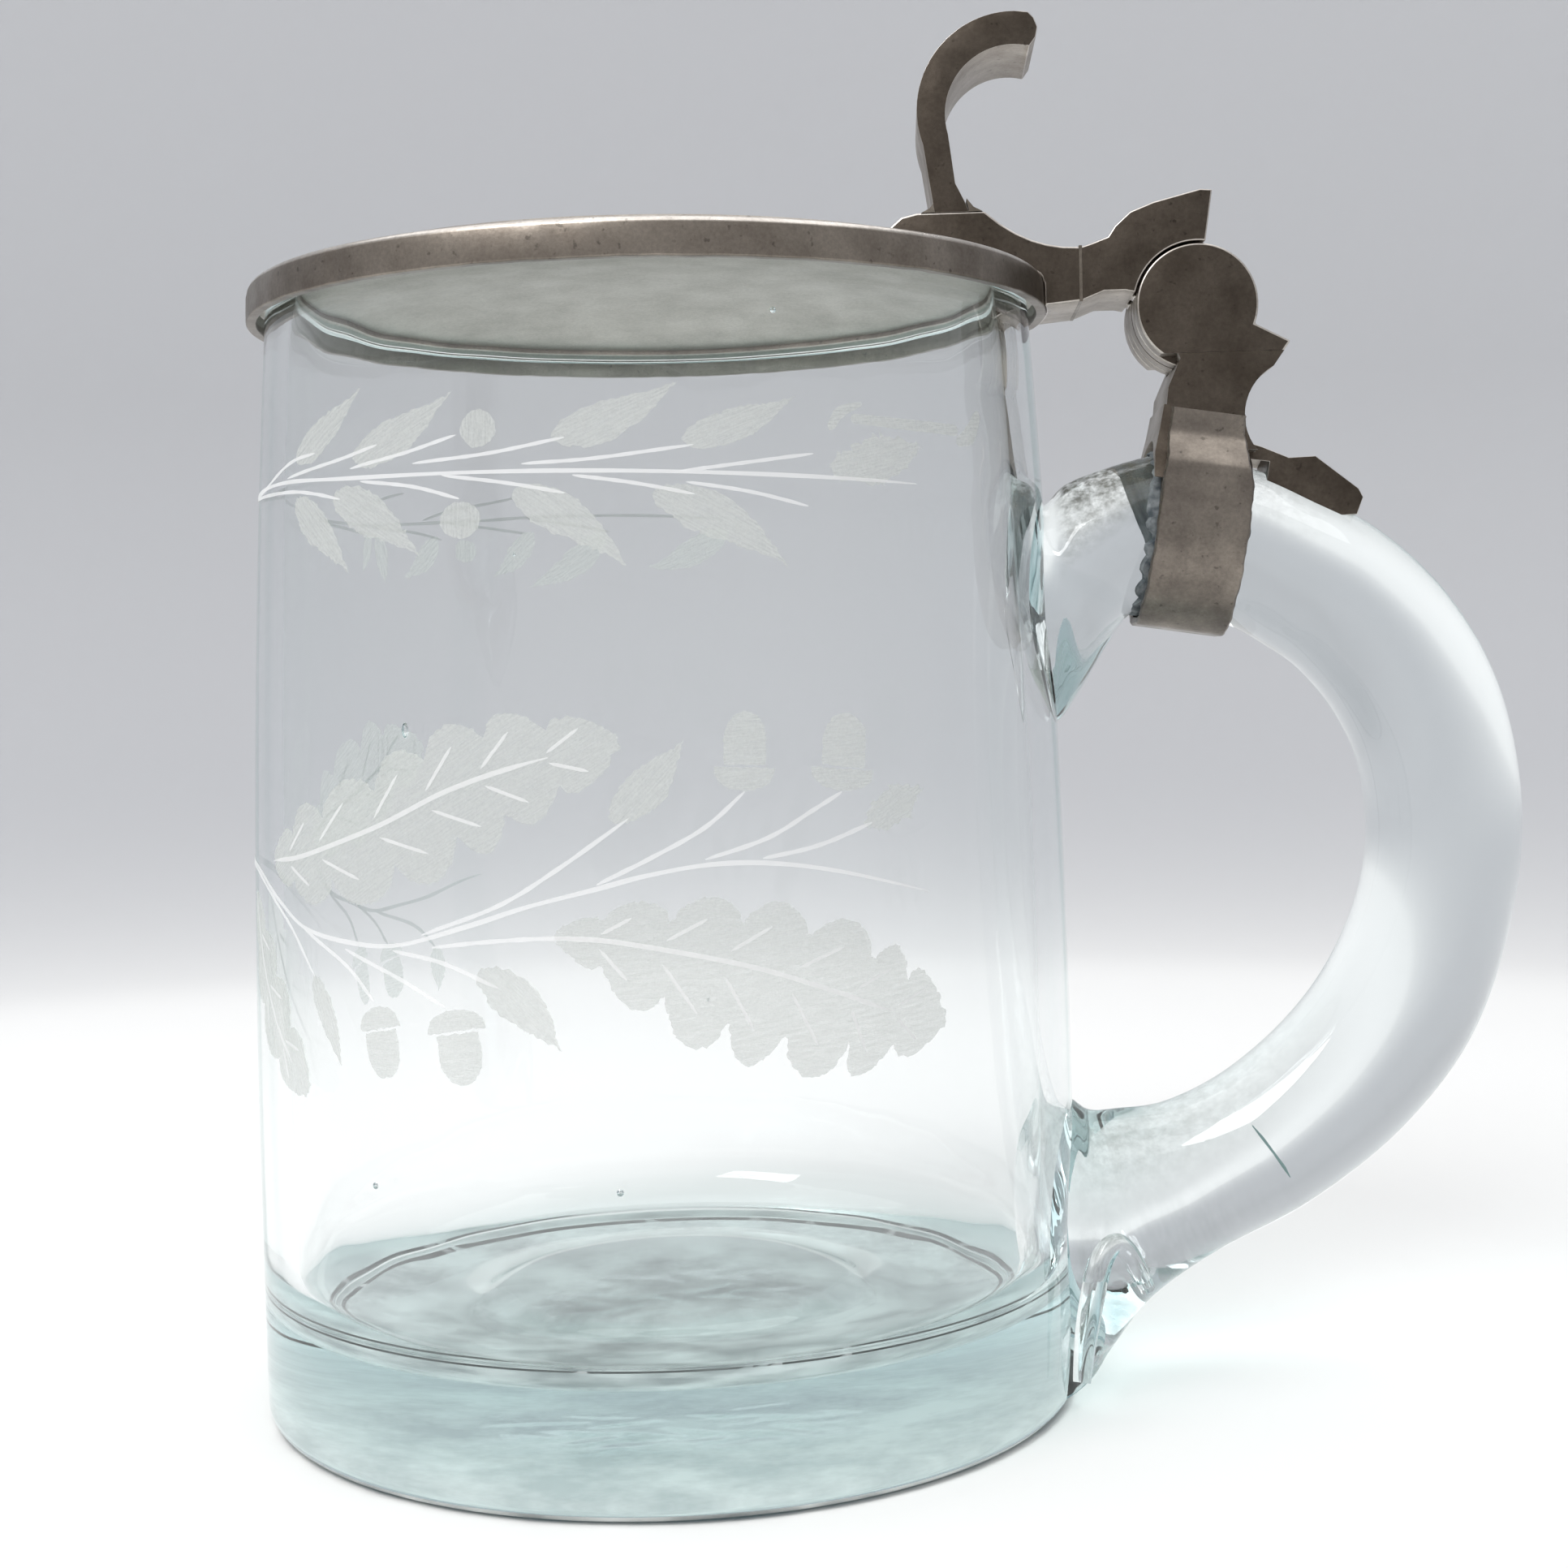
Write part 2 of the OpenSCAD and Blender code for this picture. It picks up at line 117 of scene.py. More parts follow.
def add(tree, kind, settings=None, **sockets):
    """Adds a node, a shader node unless kind says otherwise. A socket named by keyword takes a
    value, or a link if given a socket or a node, whose first output is meant."""
    made = tree.nodes.new(kind if kind.startswith("GeometryNode") else "ShaderNode" + kind)
    for key, value in (settings or {}).items():
        setattr(made, key, value)
    for key, value in sockets.items():
        name = key.replace("_", " ")
        found = made.inputs[int(key[1:])] if key[0] == "i" and key[1:].isdigit() else made.inputs[name]
        source = value.outputs[0] if isinstance(value, bpy.types.Node) else value
        if isinstance(source, bpy.types.NodeSocket):
            tree.links.new(source, found)
        else:
            found.default_value = source
    return made


def noise(tree, place, scale, detail, rough=0.5):
    """Soft noise over the piece's own coordinates."""
    return add(tree, "TexNoise", Vector=place.outputs["Object"], Scale=scale, Detail=detail,
               Roughness=rough)


def remap(tree, value, low, high, to_low=0.0, to_high=1.0):
    """Turns a value from low to high into one from to_low to to_high."""
    return add(tree, "MapRange", Value=value, From_Min=low, From_Max=high, To_Min=to_low, To_Max=to_high)


def calc(tree, operation, first, second):
    """One sum on two values."""
    return add(tree, "Math", {"operation": operation}, i0=first, i1=second)


def clear_glass(tree, rough):
    """The surface of clear glass."""
    return add(tree, "BsdfPrincipled", Base_Color=(1, 1, 1, 1), Roughness=rough, IOR=1.5,
               Transmission_Weight=1.0)


def dress(piece, *finishes):
    """Gives a piece its materials, in slot order."""
    piece.data.materials.clear()
    for finish in finishes:
        piece.data.materials.append(finish)


def lathe(name, profile, segments, warp=None):
    """Surface of revolution about Z. A profile point on the axis becomes one pole."""
    angles = np.linspace(0, 2 * math.pi, segments, endpoint=False)
    points, rings = [], []
    for r, z in profile:
        if r < 1e-6:
            rings.append([len(points)] * segments)
            points.append((0.0, 0.0, z))
            continue
        rings.append(list(range(len(points), len(points) + segments)))
        for a in angles:
            points.append((r * math.cos(a), r * math.sin(a), z))
    faces = []
    for low, high in zip(rings, rings[1:]):
        for j in range(segments):
            k = (j + 1) % segments
            face = [low[j], low[k], high[k], high[j]]
            faces.append(list(dict.fromkeys(face)))
    points = np.array(points)
    if warp:
        points = warp(points)
    mesh = bpy.data.meshes.new(name)
    mesh.from_pydata((points * mm).tolist(), [], faces)
    mesh.update()
    return put(name, mesh)


def arc(centre, radius, start, end, count):
    """Points of an arc, angles in degrees from the first axis."""
    return [(centre[0] + radius * math.cos(math.radians(start + (end - start) * i / count)),
             centre[1] + radius * math.sin(math.radians(start + (end - start) * i / count)))
            for i in range(count + 1)]


cove_profile = [(0, 0), (cove_floor_r, 0)]
cove_profile += arc((cove_floor_r, cove_bend_r), cove_bend_r, -90, 0, 24)[1:]
cove_profile += [(cove_floor_r + cove_bend_r, cove_top)]
cove = lathe("paper_cove", cove_profile, 96)
cove.data.polygons.foreach_set("use_smooth", [True] * len(cove.data.polygons))

paper, tree = material("cove_paper")
place = add(tree, "TexCoord")
split = add(tree, "SeparateXYZ", Vector=place.outputs["Object"])
flat = add(tree, "CombineXYZ", X=split.outputs["X"], Y=split.outputs["Y"])
reach = add(tree, "VectorMath", {"operation": "LENGTH"}, i0=flat)
fade = add(tree, "MapRange", {"interpolation_type": "SMOOTHSTEP"}, Value=reach.outputs["Value"],
           From_Min=0.34, From_Max=0.54)
behind = add(tree, "MapRange", {"interpolation_type": "SMOOTHSTEP"}, Value=split.outputs["Y"],
             From_Min=-0.45, From_Max=0.25)
wall = add(tree, "Mix", {"data_type": "RGBA"}, Factor=behind, i6=linear("c6c6c6"), i7=linear("bbbcbf"))
tint = add(tree, "Mix", {"data_type": "RGBA"}, Factor=fade, i6=linear("ececeb"), i7=wall.outputs[2])
paint = add(tree, "BsdfDiffuse", Color=tint.outputs[2])
add(tree, "OutputMaterial", Surface=paint)
dress(cove, paper)


def softbox(name, at, size, watts):
    """A square area light that faces the middle of the mug."""
    light = bpy.data.lights.new(name, "AREA")
    light.size = size * mm
    light.energy = watts
    made = put(name, light)
    made.location = Vector(at) * mm
    made.rotation_euler = (Vector(light_aim) - Vector(at)).to_track_quat("-Z", "Y").to_euler()


softbox("overhead_softbox", (0, 60, 1050), 1400, 8.9)
softbox("left_softbox", (-260, -380, 600), 300, 2.5)
world = bpy.data.worlds.new("studio")
world.use_nodes = True
room = world.node_tree.nodes["Background"]
room.inputs["Color"].default_value = linear("f5f6f8")
room.inputs["Strength"].default_value = room_light
bpy.context.scene.world = world


# ---- Glass mug and handle ---------------------------------------------------------------
# Free-blown soda-lime glass with a thick base. The handle is a solid drawn rod, pressed on hot:
# it spreads where it meets the wall, and its shears' tail is drawn down at both ends.
glass_low, glass_high = (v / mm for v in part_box("glass_body"))
body_r, body_h = glass_high.x, glass_high.z
mouth_r, bulge_z, foot_round = 43.8, 24, 2.2
wall_t, wall_extra, base_t, lip_h = 3.6, 0.5, 11.5, 0.3
corner_r, hollow_h = 7.0, 0.9
disc_r, disc_rise, disc_dome, trough_depth = 21.5, 1.1, 0.3, 0.7
scar_r, scar_lumps, foot_lumps, floor_swirl = 17, 0.08, 0.03, 0.035


def outer_r(z):
    """Outside radius of the mug at height z."""
    return body_r - (body_r - mouth_r) * max(0.0, (z - bulge_z) / (body_h - bulge_z)) ** 2


def inner_r(z):
    """Inside radius at height z: the wall thickens a little towards the base."""
    return outer_r(z) - wall_t - wall_extra * (1 - z / body_h)


lip_z = body_h - lip_h
ring_r = body_r - foot_round - 1.5
profile = [(r, hollow_h * (1 - (r / ring_r) ** 2) ** 1.2) for r in np.linspace(0, ring_r, 40)]
profile += arc((body_r - foot_round, foot_round), foot_round, -90, 0, 8)
profile += [(outer_r(z), z) for z in np.linspace(foot_round, lip_z, 96)[1:]]
lip_mid, lip_half = (outer_r(lip_z) + inner_r(lip_z)) / 2, (outer_r(lip_z) - inner_r(lip_z)) / 2
profile += [(lip_mid + lip_half * math.cos(a), lip_z + lip_h * math.sin(a))
            for a in np.linspace(0, math.pi, 11)[1:-1]]
profile += [(inner_r(z), z) for z in np.linspace(lip_z, base_t + corner_r, 80)]
floor_r = inner_r(base_t) - corner_r
profile += arc((floor_r, base_t + corner_r), corner_r, 0, -90, 12)[1:]


def floor_z(r):
    """Inside floor: a shallow trough, then a low disc in the middle with a soft edge."""
    trough = -trough_depth * math.sin(math.pi * min(1, (floor_r - r) / (floor_r - disc_r)))
    step = 1 / (1 + math.exp((r - disc_r) / 0.7))
    return base_t + trough * (1 - step) + disc_rise * step + disc_dome * step * (1 - (r / disc_r) ** 2)


profile += [(r, floor_z(r)) for r in np.linspace(floor_r, 0, 44)[1:]]


def hand_made(points):
    """Waviness of hot-worked glass: long streaks up the wall, lumps under the base."""
    r = np.hypot(points[:, 0], points[:, 1])
    a = np.arctan2(points[:, 1], points[:, 0])
    z = points[:, 2]
    inside = (r < np.array([inner_r(h) + 0.4 for h in z])) & (z > base_t - 1)
    streaks = (0.07 * np.sin(2 * a + 0.8 + z / 60) + 0.05 * np.sin(5 * a + z / 37)
               + 0.022 * np.sin(13 * a - z / 48 + 1) + 0.012 * np.sin(31 * a + z / 85))
    wall_part = np.clip((z - base_t - 3) / 12, 0, 1) * np.clip((body_h - z) / 6, 0, 1)
    grow = np.where(inside, streaks * wall_part, 0.35 * streaks * np.clip((z - 4) / 10, 0, 1)
                    * np.clip((body_h - z) / 10, 0, 1))
    scale = 1 + grow / np.maximum(r, 1)
    points[:, 0] *= scale
    points[:, 1] *= scale
    under = (z < 1.5) & (r < ring_r)
    lumps = (np.sin(points[:, 0] / 5.1 + 0.9 * np.sin(points[:, 1] / 4.3))
             * np.sin(points[:, 1] / 3.9 + 0.8 * np.sin(points[:, 0] / 6.1)))
    points[:, 2] += np.where(under, foot_lumps * lumps * np.clip((ring_r - r) / 6, 0, 1), 0)
    broken = (np.sin(points[:, 0] / 1.5 + 1.2 * np.sin(points[:, 1] / 1.3))
              * np.sin(points[:, 1] / 1.2 + 1.1 * np.sin(points[:, 0] / 1.7)))
    points[:, 2] += np.where(under, scar_lumps * broken * np.clip((scar_r - r) / 4, 0, 1), 0)
    on_floor = (r < floor_r) & (z > base_t - 2) & (z < base_t + 3)
    swirl = np.sin(points[:, 0] / 6.3 + points[:, 1] / 8.1) * np.sin(points[:, 1] / 5.4 - points[:, 0] / 9.0)
    points[:, 2] += np.where(on_floor, floor_swirl * swirl * np.clip((floor_r - r) / 5, 0, 1), 0)
    return points


mug = lathe("stein_glass", profile, 288, hand_made)

# The rod, from the upper joint over the strap and down to the lower joint. Each station is
# the middle of a section, its lean in degrees from upright, its half height and half width,
# how far its lower side is drawn out to a point, and how far that point swings to the front.
rod_r, reach_x, strap_z, lower_z = 9.1, 91, 98.2, 18.4
strap_x, strap_slope, half_band = 62.3, 9, 5.4
fall, run = math.sin(math.radians(strap_slope)), math.cos(math.radians(strap_slope))
rod_line = [
    (38.0, strap_z - 8.4, 0, 12.8, 11.0, 0.5, 0),
    (43.2, strap_z - 8.4, 0, 12.8, 11.0, 0.5, 0),
    (46.0, strap_z - 8.2, -2, 12.7, 10.8, 0.45, 0),
    (49.3, strap_z - 4.6, -2, 11.8, 10.0, 0.2, 0),
    (strap_x - half_band * run, strap_z + half_band * fall, strap_slope, rod_r, rod_r, 0, 0),
    (strap_x, strap_z, strap_slope, rod_r, rod_r, 0, 0),
    (strap_x + half_band * run, strap_z - half_band * fall, strap_slope, rod_r, rod_r, 0, 0),
    (reach_x - 17.7, strap_z - 3.7, 18, rod_r - 0.1, rod_r, 0, 0),
    (reach_x - 11.7, strap_z - 7.4, 30, rod_r + 0.1, rod_r, 0, 0),
    (reach_x - 5.8, strap_z - 13.8, 44, rod_r + 0.2, rod_r, 0, 0),
    (reach_x - 1.6, strap_z - 22.4, 62, rod_r, rod_r, 0, 0),
    (reach_x, strap_z - 33.4, 80, rod_r - 0.2, rod_r, 0, 0),
    (reach_x - 1.5, lower_z + 35.8, 96, rod_r - 0.2, rod_r, 0, 0),
    (reach_x - 5.7, lower_z + 25.2, 115, rod_r + 0.1, rod_r, 0, 0),
    (reach_x - 12.5, lower_z + 16.6, 130, rod_r, rod_r, 0, 0),
    (reach_x - 21.0, lower_z + 9.8, 148, rod_r - 0.2, rod_r, 0, 0),
    (reach_x - 29.6, lower_z + 5.4, 162, rod_r, rod_r + 0.2, 0, 0),
    (reach_x - 36.3, lower_z + 2.3, 171, rod_r + 2.0, rod_r + 1.2, 0.3, 0.6),
    (50.6, lower_z - 0.2, 176, 13.4, 11.4, 0.55, 4.0),
    (48.0, lower_z - 0.6, 178, 15.2, 12.0, 0.7, 9.5),
    (44.5, lower_z - 0.6, 180, 16.6, 12.4, 0.7, 13.5),
    (41.0, lower_z - 0.6, 180, 16.6, 12.4, 0.7, 13.5),
]


def flowing(stations, steps):
    """A smooth run through the inner stations, with steps rows between each two."""
    rows = [np.array(s, float) for s in stations]
    out = []
    for a, b, c, d in zip(rows, rows[1:], rows[2:], rows[3:]):
        for t in np.linspace(0, 1, steps, endpoint=False):
            out.append(0.5 * (2 * b + (c - a) * t + (2 * a - 5 * b + 4 * c - d) * t * t
                              + (3 * b - a - 3 * c + d) * t ** 3))
    out.append(rows[-2])
    return out


def turn_outward(mesh):
    """Makes every face of a closed mesh point outwards."""
    work = bmesh.new()
    work.from_mesh(mesh)
    bmesh.ops.recalc_face_normals(work, faces=work.faces)
    work.to_mesh(mesh)
    work.free()


def tube(name, sections):
    """Closed tube through rings of points, with a flat cap at each end."""
    count = len(sections[0])
    points = [p for ring in sections for p in ring]
    faces = [list(range(count))[::-1]]
    for k in range(len(sections) - 1):
        for j in range(count):
            i = (j + 1) % count
            faces.append([k * count + j, k * count + i, (k + 1) * count + i, (k + 1) * count + j])
    faces.append([(len(sections) - 1) * count + j for j in range(count)])
    mesh = bpy.data.meshes.new(name)
    mesh.from_pydata([tuple(c * mm for c in p) for p in points], [], faces)
    turn_outward(mesh)
    return put(name, mesh)


def settle(piece):
    """Turns a piece and its modifiers into a plain mesh."""
    bpy.context.view_layer.update()
    shape = bpy.data.meshes.new_from_object(piece.evaluated_get(bpy.context.evaluated_depsgraph_get()))
    piece.modifiers.clear()
    piece.data = shape


def fuse(base, other, how="UNION"):
    """Joins other to base, or cuts it away, and removes it."""
    joint = base.modifiers.new("fuse", "BOOLEAN")
    joint.object, joint.operation, joint.solver = other, how, "MANIFOLD"
    settle(base)
    bpy.data.objects.remove(other)


def rod_section(x, z, lean, high, wide, point, swing, sides=56):
    """One section of the rod. Its lower side narrows to a point where the glass was drawn out."""
    ring = []
    for a in np.linspace(0, 2 * math.pi, sides, endpoint=False):
        up = math.cos(math.radians(lean)) * math.cos(a)
        low = max(0.0, -up)
        y = wide * math.sin(a) * (1 - 0.62 * point * low ** 1.4) - swing * low ** 2.5
        ring.append((x + math.sin(math.radians(lean)) * high * math.cos(a), y, z + high * up))
    return ring


rod = tube("rod", [rod_section(*station) for station in flowing(rod_line, 8)])
sunk = 1.2
core = lathe("core", [(0, -20), (inner_r(60) + sunk, -20), (inner_r(60) + sunk, 60),
                      (mouth_r - wall_t + sunk, 150), (0, 150)], 96)
fuse(rod, core, "DIFFERENCE")
fuse(mug, rod)

# Where the lower end was pinched off, a loop of glass folded back on the near side
loop = [(46.6, -16.4, 1.2), (47.0, -15.4, 4.0), (47.7, -14.0, 9.0), (48.7, -12.6, 13.5),
        (49.8, -11.6, 17.0), (51.2, -10.8, 18.5), (52.7, -10.1, 17.5), (54.0, -9.4, 15.2),
        (55.2, -8.6, 12.6), (56.4, -7.8, 10.4)]
loop_r = [0.7, 1.0, 1.3, 1.4, 1.4, 1.3, 1.2, 1.1, 0.9, 0.6]
rows = flowing([(*point, r) for point, r in zip(loop, loop_r)], 6)
fold_rings = []
for k, row in enumerate(rows):
    along = Vector(rows[min(k + 1, len(rows) - 1)][:3]) - Vector(rows[max(k - 1, 0)][:3])
    along.normalize()
    side = along.cross(Vector((0, 1, 0))).normalized()
    deep = along.cross(side)
    fold_rings.append([tuple(Vector(row[:3]) + (side * math.cos(a) + deep * math.sin(a)) * float(row[3]))
                       for a in np.linspace(0, 2 * math.pi, 24, endpoint=False)])
fuse(mug, tube("fold", fold_rings))

# Seeds: small bubbles caught in the wall, as degrees round from the near side, height and size
seed_depth = 1.3
for around, z, wide, tall in ((-28.0, 78.9, 0.42, 0.80), (-34.2, 32.4, 0.34, 0.36),
                              (-0.2, 33.2, 0.38, 0.36), (22.3, 119.6, 0.30, 0.30),
                              (11.0, 52.0, 0.16, 0.20), (-12.0, 96.0, 0.14, 0.2)):
    a, seed_r = math.radians(around), outer_r(z) - seed_depth
    outline = [(wide * math.sin(t), z - tall * math.cos(t)) for t in np.linspace(0, math.pi, 9)]
    seed = lathe("seed", outline, 16)
    seed.data.transform(Matrix.Translation(Vector((seed_r * math.sin(a), -seed_r * math.cos(a), 0)) * mm))
    fuse(mug, seed, "DIFFERENCE")


def smooth_shade(piece, angle):
    """Smooth shading, with edges sharper than angle kept crisp."""
    piece.data.polygons.foreach_set("use_smooth", [True] * len(piece.data.polygons))
    piece.data.set_sharp_from_angle(angle=math.radians(angle))


smooth_shade(mug, 30)


def let_through(tree, surface):
    """Shadow rays, and paths that have met the glass many times, go straight through it."""
    most_meetings = 4.5
    ray = add(tree, "LightPath")
    trapped = calc(tree, "GREATER_THAN", ray.outputs["Ray Depth"], most_meetings)
    passed = calc(tree, "MAXIMUM", ray.outputs["Is Shadow Ray"], trapped)
    straight = add(tree, "BsdfTransparent", Color=linear("f4f8f7"))
    return add(tree, "MixShader", i0=passed, i1=surface, i2=straight)


def glass_output(tree, surface):
    """Output of a glass: its surface, and the blue-green that iron gives the thick parts."""
    body_tint = add(tree, "VolumeAbsorption", Color=(0.76, 0.845, 0.86, 1), Density=26.0)
    add(tree, "OutputMaterial", Surface=surface, Volume=body_tint)


# Soda-lime glass, blown and fire-polished: colourless in the wall, blue-green through the base
glass, tree = material("soda_lime_glass")
clear = clear_glass(tree, 0.0)
skin = let_through(tree, clear)

# Dust has settled on the upper side of the handle where it meets the wall
place = add(tree, "TexCoord")
spot = add(tree, "SeparateXYZ", Vector=place.outputs["Object"])
facing = add(tree, "SeparateXYZ", Vector=add(tree, "NewGeometry").outputs["Normal"])
clear_of_wall = remap(tree, spot.outputs["X"], 46.2 * mm, 47.5 * mm)
from_strap = remap(tree, spot.outputs["X"], 78 * mm, 52 * mm)
upper_side = remap(tree, facing.outputs["Z"], 0.15, 0.75)
specks = noise(tree, place, 700.0, 5.0, 0.7)
film = remap(tree, specks, 0.32, 0.64, to_high=0.95)
high_up = remap(tree, spot.outputs["Z"], 50 * mm, 90 * mm, 0.35)
dusty = clear_of_wall.outputs[0]
for share in (from_strap, upper_side, high_up, film):
    dusty = calc(tree, "MULTIPLY", dusty, share).outputs[0]
dust = add(tree, "BsdfDiffuse", Color=linear("6a6a61"))
surface = add(tree, "MixShader", i0=dusty, i1=skin, i2=dust)
glass_output(tree, surface)

# The foot was ground on a stone and is worn and chalky, so it looks soft and pale through the base. The pale
# chalk is also spread over the clear middle as painted light.
foot_glass, tree = material("ground_glass_foot")
dull = clear_glass(tree, 0.45)
place = add(tree, "TexCoord")
patches = noise(tree, place, 70.0, 5.0, 0.62)
out_from_middle = add(tree, "VectorMath", {"operation": "LENGTH"}, i0=place.outputs["Object"])
wander = add(tree, "Math", {"operation": "MULTIPLY_ADD"}, i0=patches.outputs["Fac"], i1=0.02,
             i2=out_from_middle.outputs["Value"])
ring = add(tree, "MapRange", {"interpolation_type": "SMOOTHSTEP"}, Value=wander,
           From_Min=20 * mm, From_Max=36 * mm, To_Min=0.2)
worn = remap(tree, patches, 0.38, 0.62, 0.28, 0.76)
# Painted light: chalk reaches into the clear middle, to brighten the inner floor where light through the
# glass falls short
chalk_and_painted_light_spread = add(tree, "MapRange", Value=ring, To_Min=0.75)
amount = calc(tree, "MULTIPLY", chalk_and_painted_light_spread, worn)
chalk_and_painted_light = add(tree, "BsdfDiffuse", Color=linear("f0f3f1"))
fire_polished = clear_glass(tree, 0.0)
soft_or_clear = add(tree, "MixShader", i0=ring, i1=fire_polished, i2=dull)
skin = let_through(tree, soft_or_clear)
chalked = add(tree, "MixShader", i0=amount, i1=skin, i2=chalk_and_painted_light)
glass_output(tree, chalked)
dress(mug, glass, foot_glass)
ground_top, faces_down = 1.6 * mm, -0.6
for face in mug.data.polygons:
    ground = face.center.z < ground_top and face.normal.z < faces_down
    face.material_index = 1 if ground else 0
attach(mug, "mug")
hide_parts("glass_body", "glass_handle")

# A long scratch across the handle, caught on the near side of the rod
nick_path = [(67.2, -9.02, 31.4), (68.3, -9.1, 30.0), (69.6, -9.12, 28.2), (70.7, -9.08, 26.6),
             (71.4, -8.98, 25.4)]
nick = tube("handle_scratch", [[(x + r * math.cos(a), y + 0.5 * r * math.sin(a), z + 0.5 * r * math.cos(a))
                                for a in np.linspace(0, 2 * math.pi, 8, endpoint=False)]
                               for (x, y, z), r in zip(nick_path, (0.05, 0.15, 0.12, 0.17, 0.05))])
nick_glass, tree = material("scratched_glass")
torn_edge = add(tree, "BsdfPrincipled", Base_Color=linear("6f8786"), Roughness=0.55)
add(tree, "OutputMaterial", Surface=torn_edge)
dress(nick, nick_glass)
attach(nick, "mug")


# ---- Wheel-cut decoration ---------------------------------------------------------------
# Sprays of oak and leaves cut with a copper wheel and left matt. They start at the front of
# the mug and run back along both sides. Each cut is drawn flat, in degrees round from the
# front and millimetres up, and then wrapped on the wall.
cut_r = 46.6
draw = np.random.default_rng(7)


def flat(points):
    """Drawing points turned to millimetres along the wall and up."""
    return np.array([(math.radians(a) * cut_r, z) for a, z in points], float)


def curve(points, steps=10):
    """Smooth line through flat points."""
    rows = [2 * points[0] - points[1], *points, 2 * points[-1] - points[-2]]
    return np.array(flowing(rows, steps))


def frame_of(line):
    """Unit tangents and left-hand normals along a line."""
    ahead = np.gradient(line, axis=0)
    ahead /= np.linalg.norm(ahead, axis=1)[:, None]
    return ahead, np.stack([-ahead[:, 1], ahead[:, 0]], axis=1)


def torn(outline, amount, step=0.35):
    """The outline with the small uneven bites that the wheel leaves."""
    closed = np.vstack([outline, outline[:1]])
    along = np.concatenate([[0], np.cumsum(np.linalg.norm(np.diff(closed, axis=0), axis=1))])
    even = np.linspace(0, along[-1], max(12, int(along[-1] / step)), endpoint=False)
    out = np.stack([np.interp(even, along, closed[:, i]) for i in (0, 1)], axis=1)
    return out + draw.normal(0, amount, out.shape)


front_cuts, back_cuts = [], []
drawing = front_cuts


def cut(outline, direction, rough=0.05):
    """Keeps one matt area with the direction of its wheel strokes, in degrees."""
    drawing.append((torn(outline, rough), direction, 0.0))


def stem(points, width=0.42):
    """A thin bright line that starts and ends in a point."""
    line = curve(flat(points))
    t = np.linspace(0, 1, len(line))
    half = width / 2 * np.minimum(1, np.minimum(t, 1 - t) * 9 + 0.25) * (1 + 0.12 * np.sin(t * 40))
    ahead, left = frame_of(line)
    outline = np.vstack([line + left * half[:, None], (line - left * half[:, None])[::-1]])
    drawing.append((outline, math.degrees(math.atan2(*(line[-1] - line[0])[::-1])), 1.0))


def leaf(base, tip, width, bend=0.0, fat=0.36, rough=0.085):
    """A pointed leaf, fullest at fat, its middle line bent by bend millimetres."""
    b, e = flat([base, tip])
    t = np.linspace(0, 1, 40)
    along = e - b
    square = np.array([-along[1], along[0]]) / np.linalg.norm(along)
    line = b + along * t[:, None] + square * (bend * 4 * t * (1 - t))[:, None]
    _, left = frame_of(line)
    rise = np.where(t < fat, np.abs(np.sin(t / fat * math.pi / 2)) ** 0.5,
                    np.abs(np.cos((t - fat) / (1 - fat) * math.pi / 2)) ** 1.35)
    half = width / 2 * rise
    brushed = 1 + 0.10 * np.sin(t * 23 + 3 * b[0]) * np.sin(t * 9)
    lower = (line - left * (half * brushed)[:, None])[::-1][1:]
    cut(np.vstack([line + left * half[:, None], lower]), math.degrees(math.atan2(along[1], along[0])), rough)


def dab(points, widths):
    """A short blunt stroke with round ends."""
    line = curve(flat(points), 8)
    t = np.linspace(0, 1, len(line))
    half = np.interp(t, np.linspace(0, 1, len(widths)), widths) / 2
    ahead, left = frame_of(line)
    ends = [[line[k] + half[k] * (left[k] * side * math.sin(a) + ahead[k] * side * math.cos(a))
             for a in np.linspace(math.pi / 2, -math.pi / 2, 9)[1:-1]] for k, side in ((-1, 1), (0, -1))]
    back = (line - left * half[:, None])[::-1]
    cut(np.vstack([line + left * half[:, None], ends[0], back, ends[1]]), 4, 0.02)


def bud(centre, wide, high):
    """A round bud with a slightly torn outline."""
    c = flat([centre])[0]
    a = np.linspace(0, 2 * math.pi, 40, endpoint=False)
    cut(np.stack([c[0] + wide / 2 * np.cos(a), c[1] + high / 2 * np.sin(a)], axis=1), 90, 0.07)


def oak_leaf(vein, above, below, lobes, lean, stroke):
    """A lobed leaf on its vein. above and below are the half widths at even steps along it."""
    line = curve(flat(vein), 24)
    t = np.linspace(0, 1, len(line))
    ahead, left = frame_of(line)
    sides = []
    for side, widths in ((1, above), (-1, below)):
        broad = np.interp(t, np.linspace(0, 1, len(widths)), widths)
        lobe = np.abs(np.sin(math.pi * (lobes * t ** 0.92 + 0.04))) ** 0.5
        half = broad * (0.50 + 0.55 * lobe)
        sides.append(line + left * (side * half)[:, None] + ahead * (lean * broad * (t < 0.97))[:, None])
        for k in range(1, lobes):
            at = np.searchsorted(t ** 0.92, (k + 0.36) / lobes)
            if at < len(t) - 4:
                root = line[at - 6] + left[at] * side * broad[at] * 0.16
                end = line[at] + left[at] * side * broad[at] * 0.66 + ahead[at] * lean * broad[at] * 1.2
                vein_line(np.linspace(root, end, 8), 0.34)
    cut(np.vstack([sides[0], sides[1][::-1]]), stroke, 0.09)
    vein_line(line[: int(len(line) * 0.86)], 0.5)


def vein_line(line, width):
    """A bright vein along a flat line."""
    t = np.linspace(0, 1, len(line))
    half = width / 2 * np.minimum(1, np.minimum(t, 1 - t) * 8 + 0.2)
    _, left = frame_of(line)
    outline = np.vstack([line + left * half[:, None], (line - left * half[:, None])[::-1]])
    drawing.append((outline, 0, 1.0))


